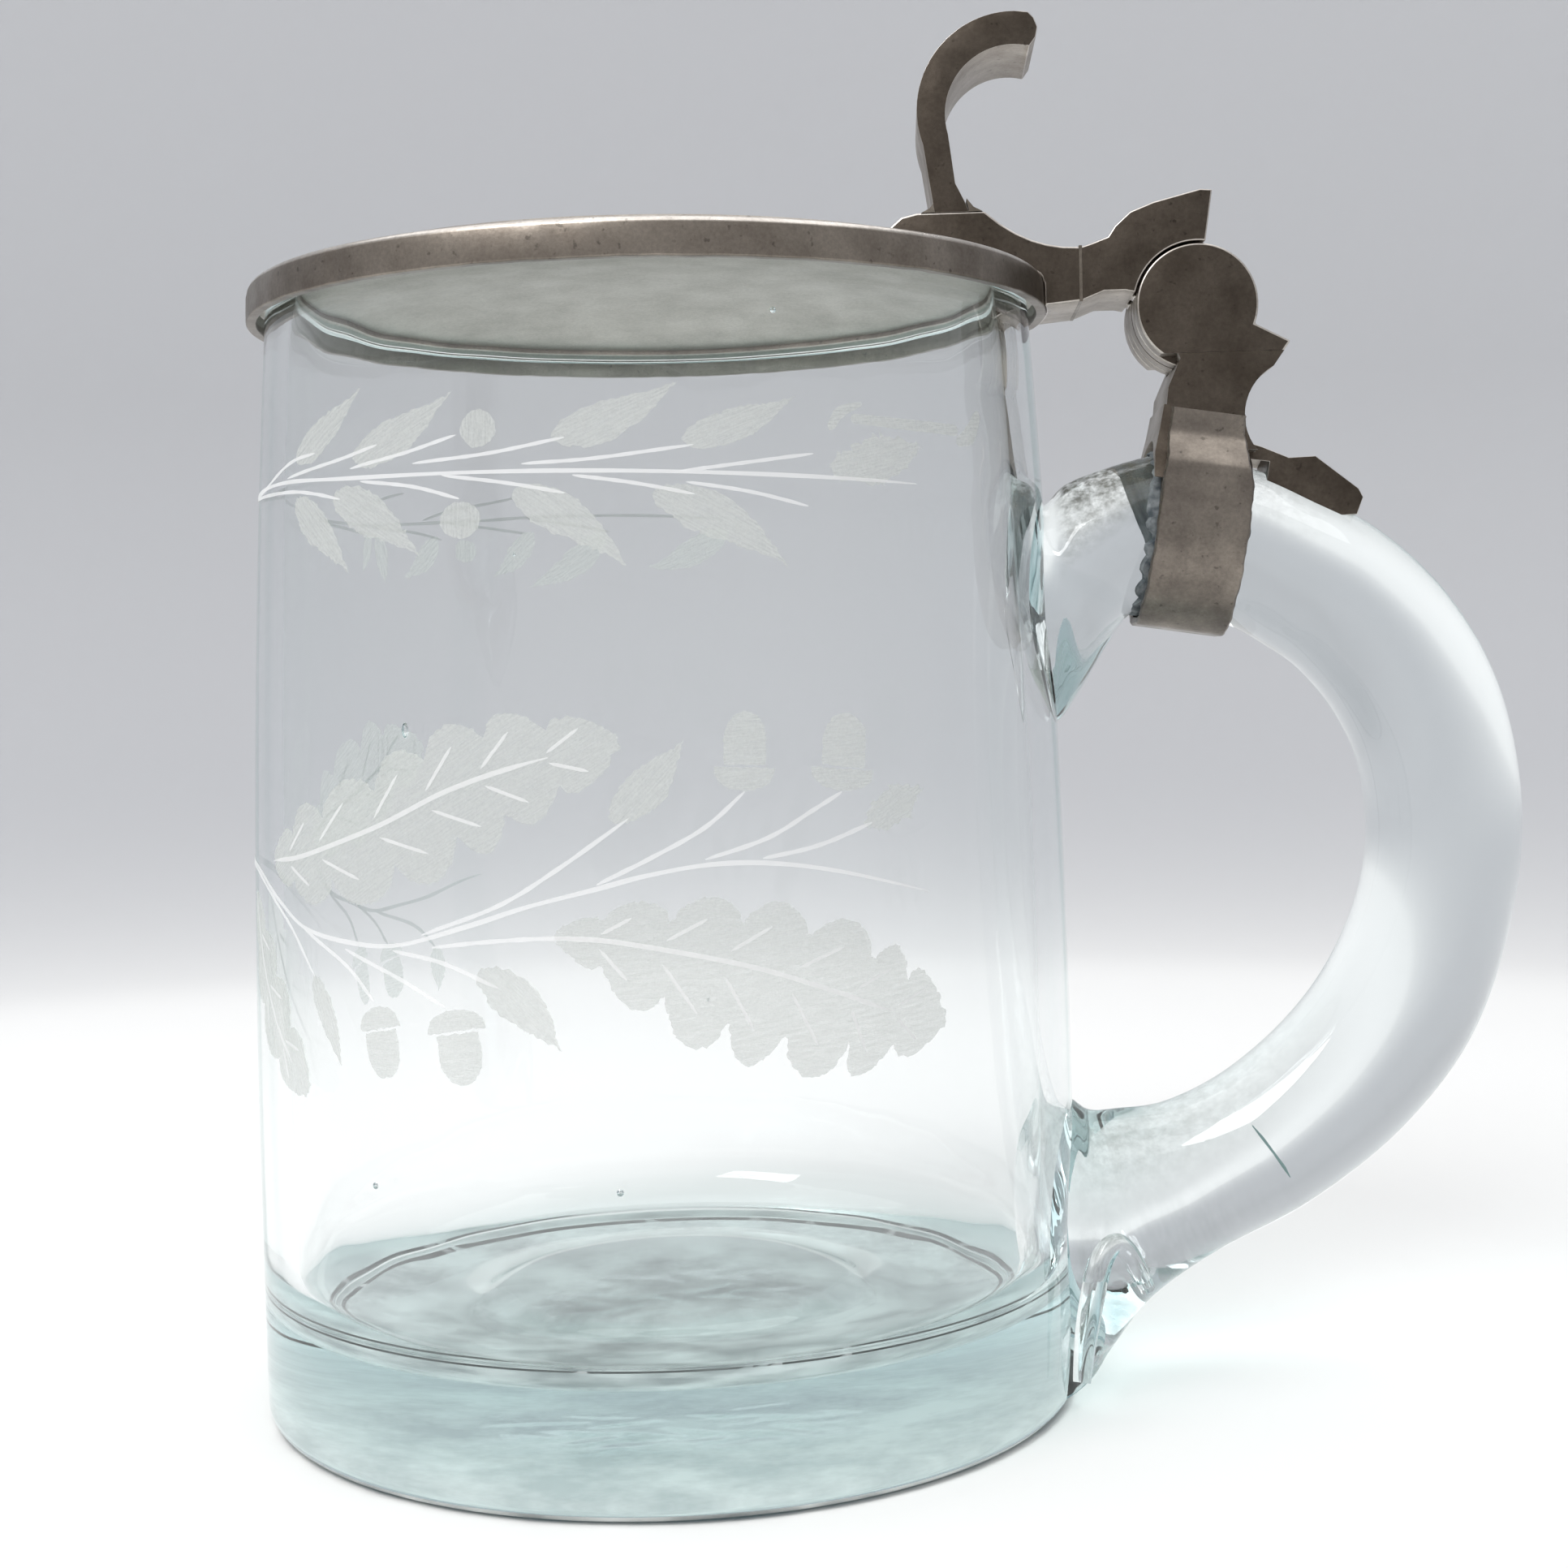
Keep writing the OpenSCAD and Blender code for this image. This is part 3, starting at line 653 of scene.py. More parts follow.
def acorn(top, foot, nut_w, cup_w, cup_h):
    """An acorn from the tip of its nut to the foot of its cup."""
    tip, root = flat([top, foot])
    length, gap = np.linalg.norm(root - tip), 0.12
    down = (root - tip) / length
    across = np.array([down[1], -down[0]])
    nut_h = length - cup_h
    a = np.linspace(0, math.pi, 20)
    dome = [(nut_w / 2 * math.cos(x), nut_h * 0.55 * (1 - math.sin(x))) for x in a]
    nut = dome + [(-nut_w / 2 * 0.98, nut_h - gap), (nut_w / 2 * 0.98, nut_h - gap)]
    cup = [(cup_w / 2, nut_h + gap)]
    cup += [(cup_w / 2 * math.cos(x), nut_h + gap + (cup_h - gap) * math.sin(x) ** 0.8) for x in a]
    for part in (nut, cup):
        cut(np.array([tip + across * x + down * y for x, y in part]), 4)


# The upper spray
stem([(2, 104.2), (22, 105), (37, 105.2), (54, 104.6), (84, 104), (114, 103.2), (132, 102.7)], 0.4)
for points in ([(12, 104.4), (26, 105), (38, 107.2), (45, 107.7)], [(37, 105.6), (50, 106.6), (58, 107.7)],
               [(53, 105.6), (62.5, 106.6), (70.5, 108)], [(64, 105.5), (75, 106), (85, 107.2)],
               [(79.5, 104.8), (89, 105.1), (101, 106.2)], [(99, 103.6), (107, 104.4), (116.5, 105.4)],
               [(14, 104.6), (24, 104.4), (38, 104.1), (45, 103.5), (51, 102.6)],
               [(55, 104.2), (64, 103.2), (71, 101.7)], [(68.5, 104.1), (77.5, 103), (85, 101.8)],
               [(86, 103.5), (93.5, 102.6), (101, 101.4)], [(100, 102.6), (108, 101.6), (115.5, 100.2)]):
    stem(points, 0.36)
leaf((39.6, 107.4), (54.7, 113.7), 3.5, -0.7)
leaf((53.4, 106.6), (69.9, 112.4), 4.0, -0.9)
bud((73.6, 108.5), 4.0, 3.7)
leaf((83.2, 107.4), (99.4, 112.6), 3.9, -0.9)
leaf((99.6, 106.8), (114.4, 111.1), 3.3, -0.6)
dab([(119.2, 108.2), (120.6, 109.6), (123.6, 110.5)], [0.9, 1.2, 0.5])
dab([(122.7, 109.0), (131.0, 108.7), (140.0, 108.5)], [1.0, 1.15, 1.15])
dab([(140.8, 107.4), (143.2, 108.2), (145.3, 110.2)], [1.1, 2.1, 1.3])
leaf((118.6, 104.0), (133.8, 106.8), 4.6, -0.3, 0.5, 0.20)
leaf((39.6, 102.9), (53.0, 94.9), 3.9, 0.6)
leaf((49.4, 102.9), (65.3, 96.2), 4.4, 0.8)
bud((71.1, 99.6), 4.6, 3.6)
leaf((78.2, 102.0), (92.6, 94.4), 4.1, 1.0)
leaf((95.8, 101.4), (112.7, 94.1), 4.3, 1.1)

# The lower spray: oak leaves, acorns hung and standing, and small leaves between them
stem([(2, 64.6), (14, 64.4), (25.5, 63.5), (35.5, 60.6), (43, 58.3), (53, 57.3), (61.5, 57.4), (71.5, 59.5),
      (79.5, 61.5), (88, 63.2), (94, 64.4), (101.5, 65.3), (109, 65.2), (118, 64), (131, 61.3)], 0.46)
oak_leaf([(33, 64.9), (43, 65.9), (57.5, 69.1), (69, 72.9), (79, 75.4), (91, 77.6)],
         [1.2, 5.0, 5.6, 5.8, 6.0, 5.6, 4.2, 1.2], [1.2, 4.4, 6.6, 7.4, 7.2, 6.0, 4.6, 1.2], 7, 0.28, 30)
stem([(65, 58.5), (75.5, 61.5), (83, 65), (92, 70)])
leaf((89.8, 69.9), (98.8, 77.6), 4.0, -0.5, 0.42, 0.09)
stem([(88, 63.6), (94, 65.9), (101, 68.9), (106, 72.3)])
acorn((106.5, 80.2), (105.9, 72.4), 4.3, 6.1, 2.4)
stem([(101, 65.8), (108.7, 67.7), (114.5, 70.2), (118.5, 71.9)])
acorn((119.6, 79.7), (118.5, 72.0), 4.9, 7.0, 2.3)
stem([(108, 65.7), (115, 66.7), (122.6, 68.7)])
leaf((121.8, 68.4), (130.6, 71.9), 3.8, 0.2, 0.55, 0.20)
stem([(66.5, 57.3), (74, 58), (82.5, 58.4), (90, 58)])
oak_leaf([(82.5, 58.6), (90, 58), (99.5, 56.5), (108, 54.7), (117.5, 51.9), (124, 49.8), (133, 48.0)],
         [0.6, 3.4, 5.4, 6.4, 7.0, 6.6, 5.6, 1.2], [0.6, 4.6, 8.4, 9.2, 8.8, 7.6, 5.0, 1.2], 7, 0.22, 5)
stem([(60.5, 56.8), (68, 55.8), (75.5, 53.5)])
leaf((72.8, 55.0), (83.3, 47.3), 4.4, 0.7, 0.42, 0.09)
stem([(12, 64.2), (25.5, 63), (38, 58.7), (45.3, 53.4)])
leaf((45.0, 53.4), (51.0, 44.2), 3.0, 0.3)
stem([(42.3, 58.4), (52, 55), (57.2, 51.5)])
acorn((59.2, 43.8), (57.6, 51.0), 4.4, 5.4, 2.4)
stem([(52, 56.6), (61.5, 54), (68.3, 51.4)])
acorn((70.8, 43.7), (69.4, 51.2), 4.9, 6.6, 2.3)
oak_leaf([(22, 61), (27, 54), (34, 47), (43, 41)],
         [1.0, 4.4, 5.0, 4.2, 1.4], [1.0, 4.2, 4.8, 4.0, 1.4], 4, 0.2, -60)


# The other side carries a shorter spray
drawing = back_cuts
stem([(0, 104), (22, 103.6), (46, 104.6), (62, 105.4), (80, 105.6), (96, 105.0)], 0.4)
for points in ([(16, 104.3), (24, 106), (34, 108)], [(38, 104.6), (47, 106.4), (58, 108)],
               [(8, 103.8), (18, 102.8), (27, 102.4)], [(26, 103.6), (36, 103), (43, 102.2)],
               [(44, 104.4), (52, 103.8), (60, 103.2)], [(60, 105.2), (68, 104.4), (76, 103.4)]):
    stem(points, 0.36)
leaf((27.5, 102.6), (30.6, 96.2), 3.0, 0.3)
leaf((25.0, 102.8), (22.0, 97.6), 2.6, 0.2)
leaf((42.0, 102.4), (34.0, 97.0), 3.2, 0.4)
bud((47.6, 100.8), 2.8, 3.0)
leaf((61.4, 103.3), (52.4, 97.4), 3.4, 0.5)
leaf((75.0, 103.2), (60.4, 96.0), 3.8, 0.8)
leaf((97.0, 103.4), (81.6, 98.4), 3.8, 0.8)
oak_leaf([(1, 65.4), (9, 67.0), (19, 69.8), (29, 72.8), (38, 75.4)],
         [1.0, 4.6, 6.6, 7.2, 5.4, 1.2], [1.0, 4.4, 6.4, 6.6, 5.0, 1.2], 5, 0.26, 34)
stem([(0, 64.2), (8, 60.2), (16, 57.0), (27, 54.6), (38, 55.4), (50, 57.8)], 0.46)
stem([(10, 59.4), (17, 55), (20.6, 50.4)])
stem([(20, 56), (27, 53), (31, 49.8)])
stem([(27, 54.6), (35, 52.4), (40.4, 48.6)])
acorn((23.0, 43.0), (20.4, 50.4), 3.4, 4.4, 2.1)
acorn((32.4, 42.8), (30.8, 50.0), 3.6, 4.6, 2.1)
leaf((40.2, 48.8), (40.8, 42.6), 2.8, 0.3)


def cut_mesh(name, areas):
    """Flat triangles of every area, fine enough to wrap, with the stroke direction kept."""
    grid = 1.3
    points, faces, strokes = [], [], []
    for outline, direction, shade in areas:
        lowest, highest = outline.min(0), outline.max(0)
        xs = np.arange(lowest[0] + grid / 2, highest[0], grid)
        ys = np.arange(lowest[1] + grid / 2, highest[1], grid)
        inner = [Vector((x, y)) for x in xs for y in ys] if shade < 0.5 else []
        corners = [Vector(p) for p in outline]
        found = geometry.delaunay_2d_cdt(corners + inner, [], [list(range(len(corners)))], 1, 1e-5)
        start = len(points)
        c, s = math.cos(math.radians(direction)), math.sin(math.radians(direction))
        for v in found[0]:
            points.append((v.x * mm, v.y * mm, 0.03 * mm if shade > 0.5 else 0.0))
            strokes.append(((v.x * c + v.y * s), (v.y * c - v.x * s), shade))
        faces += [[start + i for i in f] for f in found[2]]
    mesh = bpy.data.meshes.new(name)
    mesh.from_pydata(points, [], faces)
    mesh.attributes.new("stroke", "FLOAT_VECTOR", "POINT").data.foreach_set(
        "vector", np.array(strokes, np.float32).ravel())
    return put(name, mesh)


# Matt cut glass: a fine ground surface that scatters, in strokes as wide as the wheel's edge.
# The deep lines lean up to the light, so they shine brighter than the shallow leaves.
matt, tree = material("matt_cut_glass")
stroke = add(tree, "Attribute", {"attribute_name": "stroke"})
parts = add(tree, "SeparateXYZ", Vector=stroke.outputs["Vector"])
drawn_out = calc(tree, "MULTIPLY", parts.outputs["X"], 0.35)
squeezed = calc(tree, "MULTIPLY", parts.outputs["Y"], 3.2)
stretch = add(tree, "CombineXYZ", X=drawn_out, Y=squeezed)
hatch = add(tree, "TexNoise", Vector=stretch, Scale=1.0, Detail=3.0, Roughness=0.6)
grit = add(tree, "TexNoise", Vector=stroke.outputs["Vector"], Scale=3.0, Detail=4.0, Roughness=0.7)
fine_part = calc(tree, "MULTIPLY", grit.outputs["Fac"], 0.4)
both = add(tree, "Math", {"operation": "MULTIPLY_ADD"}, i0=hatch.outputs["Fac"], i1=0.6, i2=fine_part)
depth = remap(tree, both, 0.34, 0.58, 0.40, 0.66)
line_or_face = add(tree, "Mix", {"data_type": "FLOAT"}, i0=parts.outputs["Z"], i2=depth, i3=0.55)
colour = add(tree, "Mix", {"data_type": "RGBA"}, i0=parts.outputs["Z"], i6=linear("f1f3ef"),
             i7=linear("ffffff"))
surface_way = add(tree, "NewGeometry")
lean = add(tree, "MapRange", Value=parts.outputs["Z"], To_Min=0.2, To_Max=1.0)
tilted = add(tree, "CombineXYZ", Z=lean)
lean_up = add(tree, "VectorMath", i0=surface_way.outputs["Normal"], i1=tilted)
groove = add(tree, "VectorMath", {"operation": "NORMALIZE"}, i0=lean_up)
front = add(tree, "BsdfDiffuse", Color=colour.outputs[2], Normal=groove)
back = add(tree, "BsdfTranslucent", Color=colour.outputs[2])
through = add(tree, "MapRange", Value=parts.outputs["Z"], To_Min=0.6, To_Max=0.1)
frosted = add(tree, "MixShader", i0=through, i1=front, i2=back)
open_glass = add(tree, "BsdfTransparent")
seen = add(tree, "MixShader", i0=line_or_face, i1=open_glass, i2=frosted)
add(tree, "OutputMaterial", Surface=seen)


def wrap_tree(name, finish, mirrored):
    """Wraps a flat drawing on the near side of the wall, or mirrored on the other side."""
    tree = bpy.data.node_groups.new(name, "GeometryNodeTree")
    face = tree.interface
    face.new_socket("Geometry", in_out="INPUT", socket_type="NodeSocketGeometry")
    sizes = ("Drawing Radius", "Body Radius", "Mouth Radius", "Bulge Height", "Body Height", "Proud")
    for label in sizes:
        face.new_socket(label, in_out="INPUT", socket_type="NodeSocketFloat")
    face.new_socket("Geometry", in_out="OUTPUT", socket_type="NodeSocketGeometry")
    given = tree.nodes.new("NodeGroupInput").outputs

    spot = add(tree, "SeparateXYZ", Vector=tree.nodes.new("GeometryNodeInputPosition").outputs[0])
    value = {label: given[label] for label in sizes}
    value.update(along=spot.outputs["X"], up=spot.outputs["Y"], lift=spot.outputs["Z"],
                 zero=0.0, two=2.0, minus=-1.0)
    for label, operation, first, second in (
            ("angle", "DIVIDE", "along", "Drawing Radius"), ("past", "SUBTRACT", "up", "Bulge Height"),
            ("above", "MAXIMUM", "past", "zero"), ("rise", "SUBTRACT", "Body Height", "Bulge Height"),
            ("share", "DIVIDE", "above", "rise"), ("bend", "POWER", "share", "two"),
            ("narrowing", "SUBTRACT", "Body Radius", "Mouth Radius"),
            ("taper", "MULTIPLY", "bend", "narrowing"), ("wall", "SUBTRACT", "Body Radius", "taper"),
            ("stand", "ADD", "Proud", "lift"), ("radius", "ADD", "wall", "stand"),
            ("outward", "MULTIPLY", "radius", "minus"), ("cosine", "COSINE", "angle", "zero"),
            ("sine", "SINE", "angle", "zero"), ("x", "MULTIPLY", "outward", "cosine"),
            ("y", "MULTIPLY", "outward", "sine")):
        value[label] = add(tree, "Math", {"operation": operation}, i0=value[first],
                           i1=value[second]).outputs[0]
    wrapped = add(tree, "CombineXYZ", X=value["x"], Y=value["y"], Z=value["up"])
    placed = add(tree, "GeometryNodeSetPosition", Geometry=given["Geometry"], Position=wrapped)
    if mirrored:
        across = add(tree, "GeometryNodeTransform", Geometry=placed, Scale=(1, -1, 1))
        placed = add(tree, "GeometryNodeFlipFaces", Mesh=across)
    real = add(tree, "GeometryNodeRealizeInstances", Geometry=placed)
    painted = add(tree, "GeometryNodeSetMaterial", Geometry=real, Material=finish)
    out = tree.nodes.new("NodeGroupOutput")
    tree.links.new(painted.outputs[0], out.inputs[0])
    return tree


def shaped(piece, tree, sizes):
    """Runs a geometry tree on a piece with sizes in metres, and keeps the result as a plain mesh."""
    made = piece.modifiers.new(tree.name, "NODES")
    made.node_group = tree
    for item in tree.interface.items_tree:
        if item.in_out == "INPUT" and item.name in sizes:
            made[item.identifier] = sizes[item.name]
    settle(piece)


wall_sizes = {"Drawing Radius": cut_r * mm, "Body Radius": body_r * mm, "Mouth Radius": mouth_r * mm,
              "Bulge Height": bulge_z * mm, "Body Height": body_h * mm, "Proud": 0.04 * mm}
for name, areas, mirrored in (("wheel_cut_spray_front", front_cuts, False),
                              ("wheel_cut_spray_back", back_cuts, True)):
    spray = cut_mesh(name, areas)
    shaped(spray, wrap_tree(name + "_wrap", matt, mirrored), wall_sizes)
    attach(spray, "mug")


# ---- Pewter castings --------------------------------------------------------------------
# Tower, cheeks, tang, tongue, shank and thumblift are cast pewter, filed flat on their sides
# and burnished by handling along every edge. The flat front and back faces are painted darker, painted shade
# for the dark room they face, and the rounded edges are painted light, partly burnish and partly painted
# highlight.
def pewter(name, dark, light, rough, wear=1.0):
    """Cast pewter: patina in soft clouds, fine file marks, a few small dark pits."""
    made, tree = material(name)
    place = add(tree, "TexCoord")
    clouds = noise(tree, place, 160.0, 4.0, 0.6)
    tones = remap(tree, clouds, 0.32, 0.68)
    hue = add(tree, "Mix", {"data_type": "RGBA"}, Factor=tones, i6=linear(dark), i7=linear(light))
    grain = noise(tree, place, 2600.0, 3.0, 0.7)
    pits = noise(tree, place, 1150.0, 2.0, 0.5)
    pit_mask = remap(tree, pits, 0.66, 0.74, 1.0, 1 - 0.4 * wear)
    speck = remap(tree, grain, 0.3, 0.7, 0.86, 1.12)
    shade = calc(tree, "MULTIPLY", pit_mask, speck)
    toned = add(tree, "VectorMath", {"operation": "SCALE"}, i0=hue.outputs[2], Scale=shade)
    gloss = remap(tree, clouds, 0.3, 0.7, rough + 0.08, rough - 0.06)
    dents = noise(tree, place, 420.0, 5.0, 0.62)
    bump = add(tree, "Bump", Strength=0.35 * wear, Distance=0.00012, Height=dents)
    fine = add(tree, "Bump", Strength=0.25 * wear, Distance=0.00003, Height=grain, Normal=bump)
    metal = add(tree, "BsdfPrincipled", Metallic=1.0, Base_Color=toned, Roughness=gloss, Normal=fine)
    add(tree, "OutputMaterial", Surface=metal)
    return made


# The darker pewter is painted shade on flat faces turned to the front and back; the light edge pewter is
# burnish together with a painted highlight
painted_shade_side_pewter = pewter("filed_pewter_painted_shade", "443d36", "5c544c", 0.42)
burnish_and_highlight_edge_pewter = pewter("burnished_pewter_edge_and_highlight", "a8a19a", "cfc9c2", 0.30)
cast_faces = pewter("cast_pewter", "8d857c", "aaa299", 0.38)


seam_slack, shaded_side_facing, tip_reach = 0.03 * mm, 0.8, 2.2


def worn_copy(node, name, width, seams=(), tip_depth=0):
    """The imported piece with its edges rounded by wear. Edges that lie at a seam's height, where
    two pieces are soldered flush, stay almost sharp."""
    source = frame["nodes"][node]
    mesh = source.data.copy()
    mesh.materials.clear()
    work = bmesh.new()
    work.from_mesh(mesh)
    bmesh.ops.remove_doubles(work, verts=work.verts, dist=1e-6)
    bmesh.ops.dissolve_limit(work, angle_limit=math.radians(1.5), verts=work.verts, edges=work.edges)
    work.normal_update()
    weight = work.edges.layers.float.new("bevel_weight_edge")
    peak = max(v.co.z for v in work.verts)
    end_x = max(v.co.x for v in work.verts if v.co.z > peak - tip_depth * mm) if tip_depth else 0

    def at_seam(edge):
        """Whether the edge lies in one of the seams, each an axis and a place on it."""
        return any(all(abs(v.co[axis] - place * mm) < seam_slack for v in edge.verts)
                   for axis, place in seams)

    def near_tip(edge):
        """Full wear at the blunt end of the thumblift, a third of it elsewhere."""
        if not tip_depth:
            return 1.0
        at_end = all(v.co.x > end_x - tip_reach * mm and v.co.z > peak - tip_depth * mm for v in edge.verts)
        return 1.0 if at_end else 0.3

    for edge in work.edges:
        if len(edge.link_faces) == 2 and edge.calc_face_angle(0) > math.radians(26):
            edge[weight] = 0.0 if at_seam(edge) else near_tip(edge)
    # Faces turned to the front or back get the darker pewter, painted shade for the dark room they face; the
    # others get the cast tone
    for face in work.faces:
        face.material_index = 0 if abs(face.normal.y) > shaded_side_facing else 2
    work.to_mesh(mesh)
    work.free()
    made = put(name, mesh)
    for shade in (painted_shade_side_pewter, burnish_and_highlight_edge_pewter, cast_faces):
        mesh.materials.append(shade)
    # The rounded edges take the light edge pewter: real burnish together with a painted highlight
    bevel = made.modifiers.new("worn edges", "BEVEL")
    bevel.width, bevel.segments, bevel.limit_method = width * mm, 3, "WEIGHT"
    bevel.material, bevel.use_clamp_overlap = 1, True
    settle(made)
    smooth_shade(made, 34)
    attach(made, source["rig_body"])
    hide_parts(node)
    return made


cheek_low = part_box("front_hinge_cheek")[0].z / mm
shank_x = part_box("hinge_shank")[0].x / mm
tongue_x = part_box("lid_tongue")[1].x / mm
worn_copy("hinge_tower", "tower_casting", 0.22, seams=[(2, cheek_low - 0.02)])
worn_copy("front_hinge_cheek", "front_cheek_casting", 0.22, seams=[(2, cheek_low)])
worn_copy("back_hinge_cheek", "back_cheek_casting", 0.22, seams=[(2, cheek_low)])
worn_copy("rear_tang", "tang_casting", 0.25)
worn_copy("lid_tongue", "tongue_casting", 0.22, seams=[(0, tongue_x)])
worn_copy("hinge_shank", "shank_casting", 0.20, seams=[(0, shank_x)])
worn_copy("thumblift", "thumblift_casting", 1.5, tip_depth=12)


# ---- Strap and packing ------------------------------------------------------------------
# A band of sheet pewter bent round the handle. Its two ends spread over the shoulders of the
# tower and are soldered flush on its sides. Plaster cement fills the gap to the glass.
strap_w, strap_in_r, strap_out_r = 10.2, rod_r + 0.5, rod_r + 1.5
hinge_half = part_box("front_hinge_cheek")[0].y / -mm
lap_top, lap_turn, lap_foot, ring_start = 14.0, 12.3, 6.9, 3.5
neck_from, neck_near, neck_far = 4, 0.1, 1.7


def on_strap(x, y, up):
    """A point on the strapped stretch of the rod: along it, across it, and square to it."""
    return (strap_x + x * run + up * fall, y, strap_z - x * fall + up * run)


def band_edges(up):
    """Left and right edge of the sheet: it narrows to the neck above the handle."""
    t = min(1.0, max(0.0, (up - neck_from) / (lap_top - neck_from)))
    t = t * t * (3 - 2 * t)
    return -strap_w / 2 + neck_near * t, strap_w / 2 - neck_far * t


def lap_y(up):
    """Outside of the lap from its upper edge down to the round of the ring."""
    t = min(1.0, max(0.0, (lap_turn - up) / (lap_turn - lap_foot)))
    return hinge_half + 0.42 + (strap_out_r - hinge_half - 0.5) * t * t * (3 - 2 * t)


ring = arc((0, 0), math.hypot(lap_y(ring_start), ring_start), 180 - 20, 360 + 20, 64)
outer = [(-lap_y(up), up) for up in np.linspace(lap_top, ring_start, 22)]
outer += [p for p in ring if p[1] < ring_start - 0.1]
outer += [(lap_y(up), up) for up in np.linspace(ring_start, lap_top, 22)]
path = np.array(outer)
path[:, 1] = np.maximum(path[:, 1], -strap_out_r)
ahead, left = frame_of(path)


def band_section(k, low, high, roll_r=0.22):
    """Section of the sheet at path row k: a flat strip with rounded edges."""
    (y, up), (ny, nz) = path[k], left[k]
    first, last = band_edges(up)
    wave = 0.06 * math.sin(k * 0.7) + 0.04 * math.sin(k * 1.9)
    rows = [(first + wave, high - roll_r), (first + wave + roll_r, high), (last - wave - roll_r, high),
            (last - wave, high - roll_r), (last - wave, low + roll_r), (last - wave - roll_r, low),
            (first + wave + roll_r, low), (first + wave, low + roll_r)]
    return [on_strap(x, y - ny * (1 - h), up - nz * (1 - h)) for x, h in rows]


count, thin_end, thinned = len(path), 8, 0.35
left = -left if left[count // 2] @ path[count // 2] < 0 else left
band = tube("strap_sheet", [band_section(k, thinned if min(k, count - 1 - k) < thin_end else 0.0, 1.0)
                            for k in range(count)])
upper_arc = arc((0, 0), strap_out_r - 0.5, 15, 165, 40)
crown_strip = ((-5.1, -0.28), (-4.9, -0.48), (4.9, -0.48), (5.1, -0.28),
               (5.1, 0.28), (4.9, 0.48), (-4.9, 0.48), (-5.1, 0.28))
crown = tube("crown", [[on_strap(x, y + y / math.hypot(y, up) * h, up + up / math.hypot(y, up) * h)
                        for x, h in crown_strip] for y, up in upper_arc])
fuse(band, crown)
smooth_shade(band, 40)
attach(band, "mug")
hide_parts("strap_band")
strap_pewter = pewter("worn_sheet_pewter", "67605a", "8a8279", 0.33)
dress(band, strap_pewter)

# The cement was smeared in by hand, so its edge under the strap is ragged
spokes = 96
jagged = draw.normal(0, 0.32, spokes)
jagged = (jagged + np.roll(jagged, 1)) * 0.7
on_glass, under_sheet = rod_r + 0.03, rod_r + 0.46
packing_points, packing_faces = [], []
for k, a in enumerate(np.linspace(0, 2 * math.pi, spokes, endpoint=False)):
    for x, r in ((-6.0 + jagged[k], on_glass), (-5.6 + jagged[k], under_sheet), (5.0, under_sheet),
                 (5.3 + 0.3 * jagged[-k], on_glass)):
        packing_points.append(tuple(c * mm for c in on_strap(x, r * math.cos(a), r * math.sin(a))))
    for i in range(4):
        j, after = (i + 1) % 4, (k + 1) % spokes
        packing_faces.append((4 * k + i, 4 * k + j, 4 * after + j, 4 * after + i))
packing_mesh = bpy.data.meshes.new("plaster_packing")
packing_mesh.from_pydata(packing_points, [], packing_faces)
turn_outward(packing_mesh)
packing = put("plaster_packing", packing_mesh)
plaster, tree = material("grey_plaster_cement")
place = add(tree, "TexCoord")
crumbs = noise(tree, place, 900.0, 5.0)
tone = remap(tree, crumbs, 0.35, 0.65)
dusty = add(tree, "Mix", {"data_type": "RGBA"}, Factor=tone, i6=linear("4a5257"), i7=linear("8b9092"))
rough = add(tree, "Bump", Strength=0.6, Distance=0.0002, Height=crumbs)
cement = add(tree, "BsdfPrincipled", Base_Color=dusty.outputs[2], Roughness=0.85, Normal=rough)
add(tree, "OutputMaterial", Surface=cement)
dress(packing, plaster)
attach(packing, "mug")
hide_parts("strap_packing")

# Solder shows as a slightly brighter line; the pin is drawn steel wire
solder = pewter("soft_solder", "665e55", "8b8379", 0.36)
steel = pewter("drawn_steel_pin", "63625f", "84837f", 0.30, wear=0.4)
for node, shade in (("hinge_pin", steel), ("shank_solder", solder), ("thumblift_solder", solder)):
    dress(frame["nodes"][node], shade)


# ---- Lid --------------------------------------------------------------------------------
# A cast disc with a low dome, turned true on a lathe. Its rim band drops past the lip all
# round and has a few knocks. The band is painted darker than the top as painted shade, the top edge of the
# rim takes the light edge pewter, burnish and painted highlight, and the underside is a paler, less pitted
# pewter.
lid_low, lid_high = (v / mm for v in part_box("lid_plate"))
lid_r, skirt_z, dome_top = lid_high.x, lid_low.z, lid_high.z
skirt_r, step_r, under_z = mouth_r + 1.0, lid_r - 4.6, body_h + 0.2
band_top, edge_r, plate_t, dome_step = skirt_z + 4.0, 0.9, 2.2, 0.9


def dome_z(r):
    """Height of the top of the dome at radius r."""
    return band_top + dome_step + (dome_top - band_top - dome_step) * (1 - (r / step_r) ** 2)


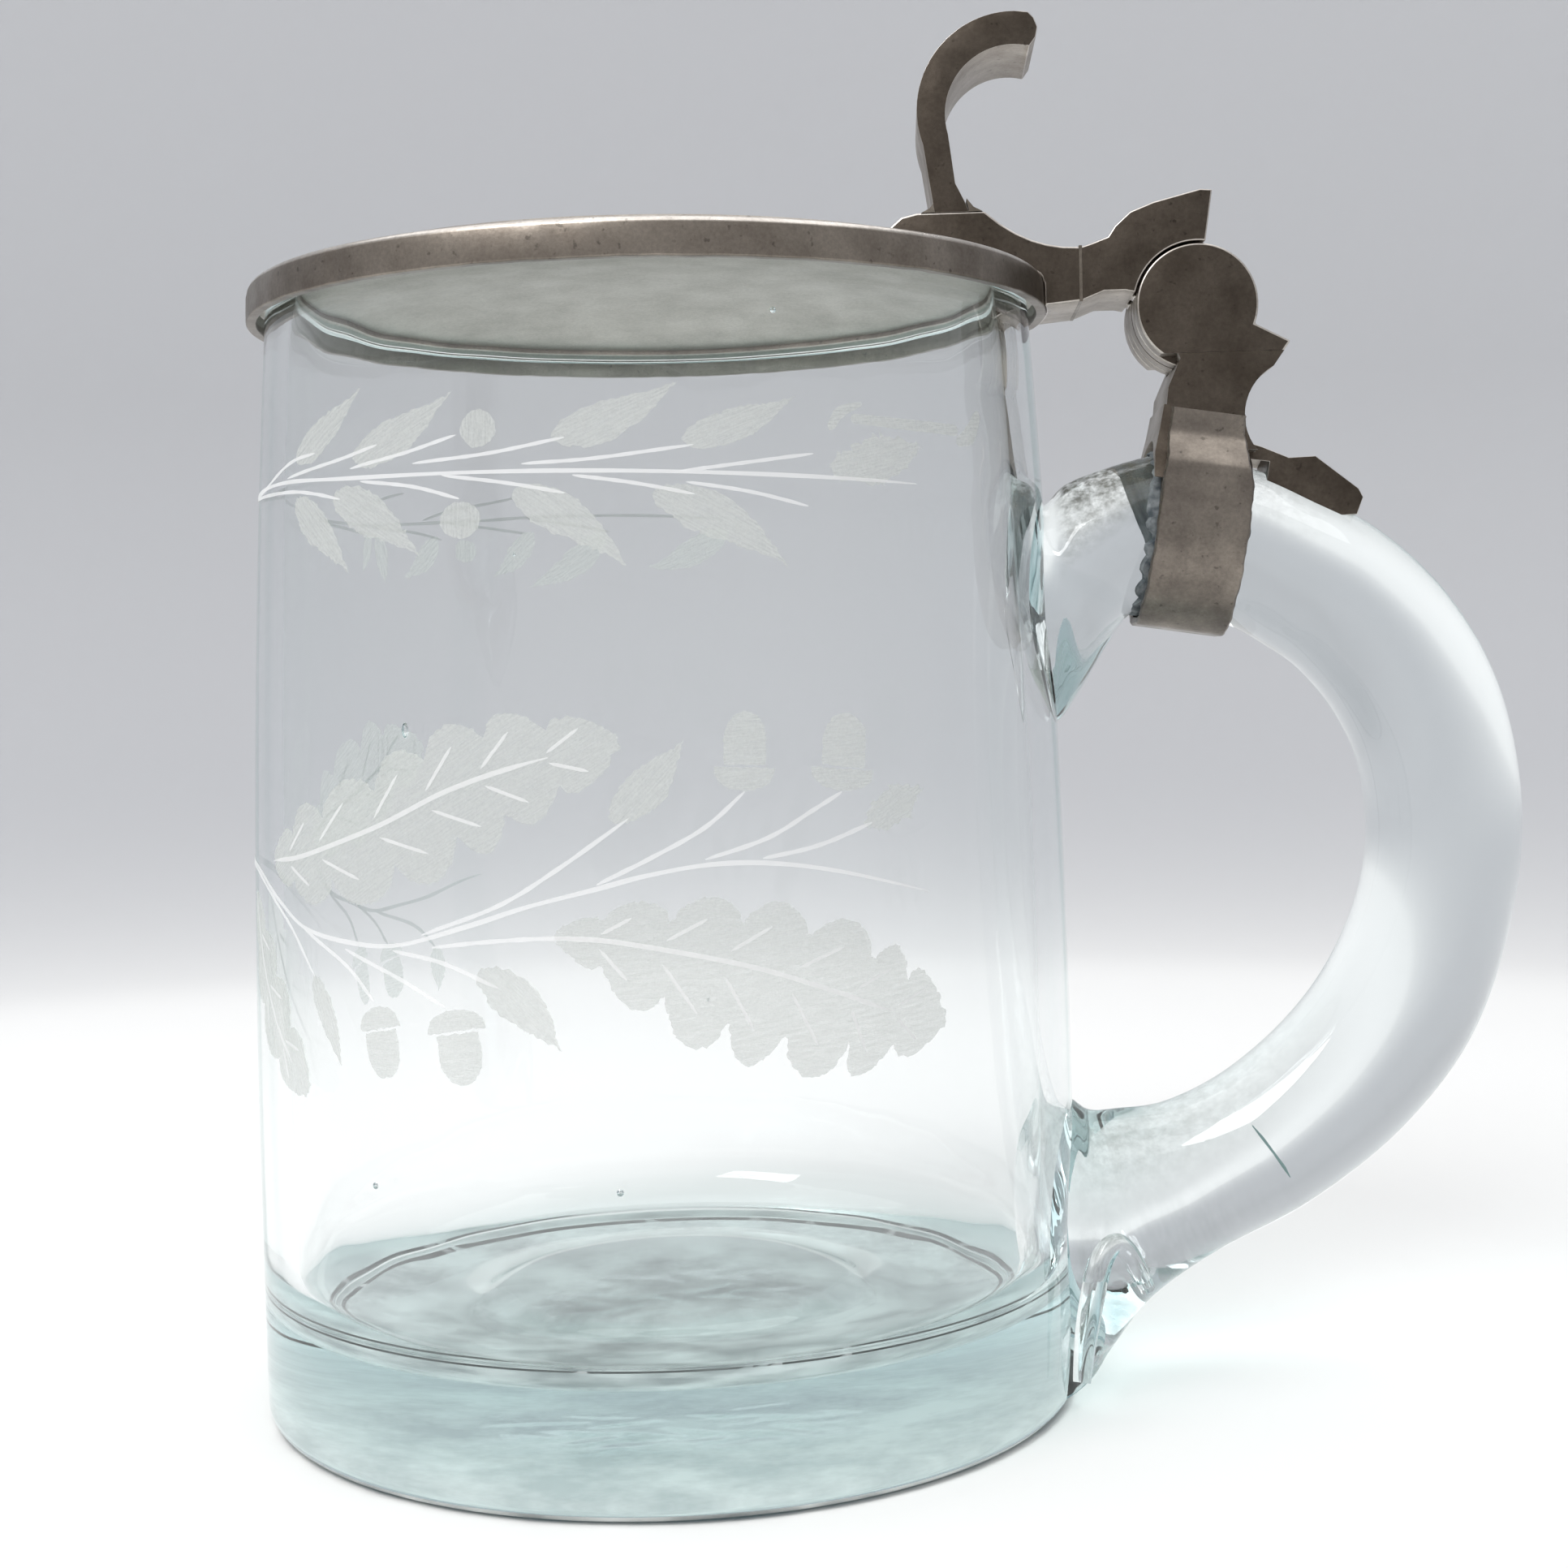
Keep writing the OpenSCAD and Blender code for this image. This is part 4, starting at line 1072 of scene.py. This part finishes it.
lid_profile = [(r, dome_z(r) - plate_t) for r in np.linspace(0, step_r - 1.2, 30)]
lid_profile += [(step_r - 1.2, under_z + 0.3), (step_r - 0.9, under_z), (skirt_r - 0.2, under_z)]
lid_profile += [(skirt_r, under_z - 0.15), (skirt_r + 0.02, skirt_z + 0.12), (skirt_r + 0.12, skirt_z)]
lid_profile += [(lid_r - 0.25, skirt_z)] + arc((lid_r - 0.22, skirt_z + 0.22), 0.22, -75, 0, 4)
lid_profile += [(lid_r - 0.02, skirt_z + 1.2), (lid_r - 0.08, band_top - edge_r - 0.4)]
lid_profile += arc((lid_r - 0.2 - edge_r, band_top - edge_r), edge_r, 8, 90, 10)
lid_profile += [(step_r + 1.6, band_top - 0.12), (step_r + 1.0, band_top - 0.02),
                (step_r + 0.5, band_top + 0.3)]
lid_profile += [(r, dome_z(r)) for r in np.linspace(step_r, 0, 40)]


def knocked(points):
    """Small dents and a slightly uneven lower edge."""
    a = np.arctan2(points[:, 1], points[:, 0])
    r = np.hypot(points[:, 0], points[:, 1])
    ragged = 0.05 * np.sin(a * 23 + 2 * np.sin(a * 5)) + 0.03 * np.sin(a * 61 + 1)
    lower = (points[:, 2] < skirt_z + 0.5) & (r > skirt_r)
    points[:, 2] += np.where(lower, np.maximum(ragged, 0), 0)
    for at, deep, wide in ((-95, 0.16, 1.6), (-128, 0.12, 1.1), (-62, 0.13, 0.9), (40, 0.16, 1.4),
                           (100, 0.14, 1.2), (165, 0.2, 1.6)):
        away = (np.degrees(a) - at + 180) % 360 - 180
        dent = deep * np.exp(-(away / wide) ** 2) * np.clip((r - skirt_r) / 1.0, 0, 1)
        points[:, 0] *= 1 - dent / np.maximum(r, 1)
        points[:, 1] *= 1 - dent / np.maximum(r, 1)
    return points


lid = lathe("lid_disc", lid_profile, 320, knocked)
smooth_shade(lid, 50)
shaded_band_pewter = pewter("turned_pewter_band_painted_shade", "6e665e", "8a8279", 0.36)
top_pewter = pewter("turned_pewter_top", "8f877e", "aca49b", 0.33)
under_pewter = pewter("pale_pewter_underside", "aeaca4", "bbb9b1", 0.42, wear=0.12)
dress(lid, shaded_band_pewter, burnish_and_highlight_edge_pewter, top_pewter, under_pewter)
# Underside faces get the pale pewter, the top edge of the rim the edge pewter as burnish and painted
# highlight, upward faces the top tone, and the band the darker pewter as painted shade
for face in lid.data.polygons:
    z, r = face.center.z / mm, math.hypot(face.center.x, face.center.y) / mm
    if r < skirt_r and face.normal.z < 0:
        face.material_index = 3
    elif face.normal.z > 0.35 and r > lid_r - 1.6:
        face.material_index = 1
    elif face.normal.z > 0.3:
        face.material_index = 2
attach(lid, "lid")
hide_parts("lid_plate")
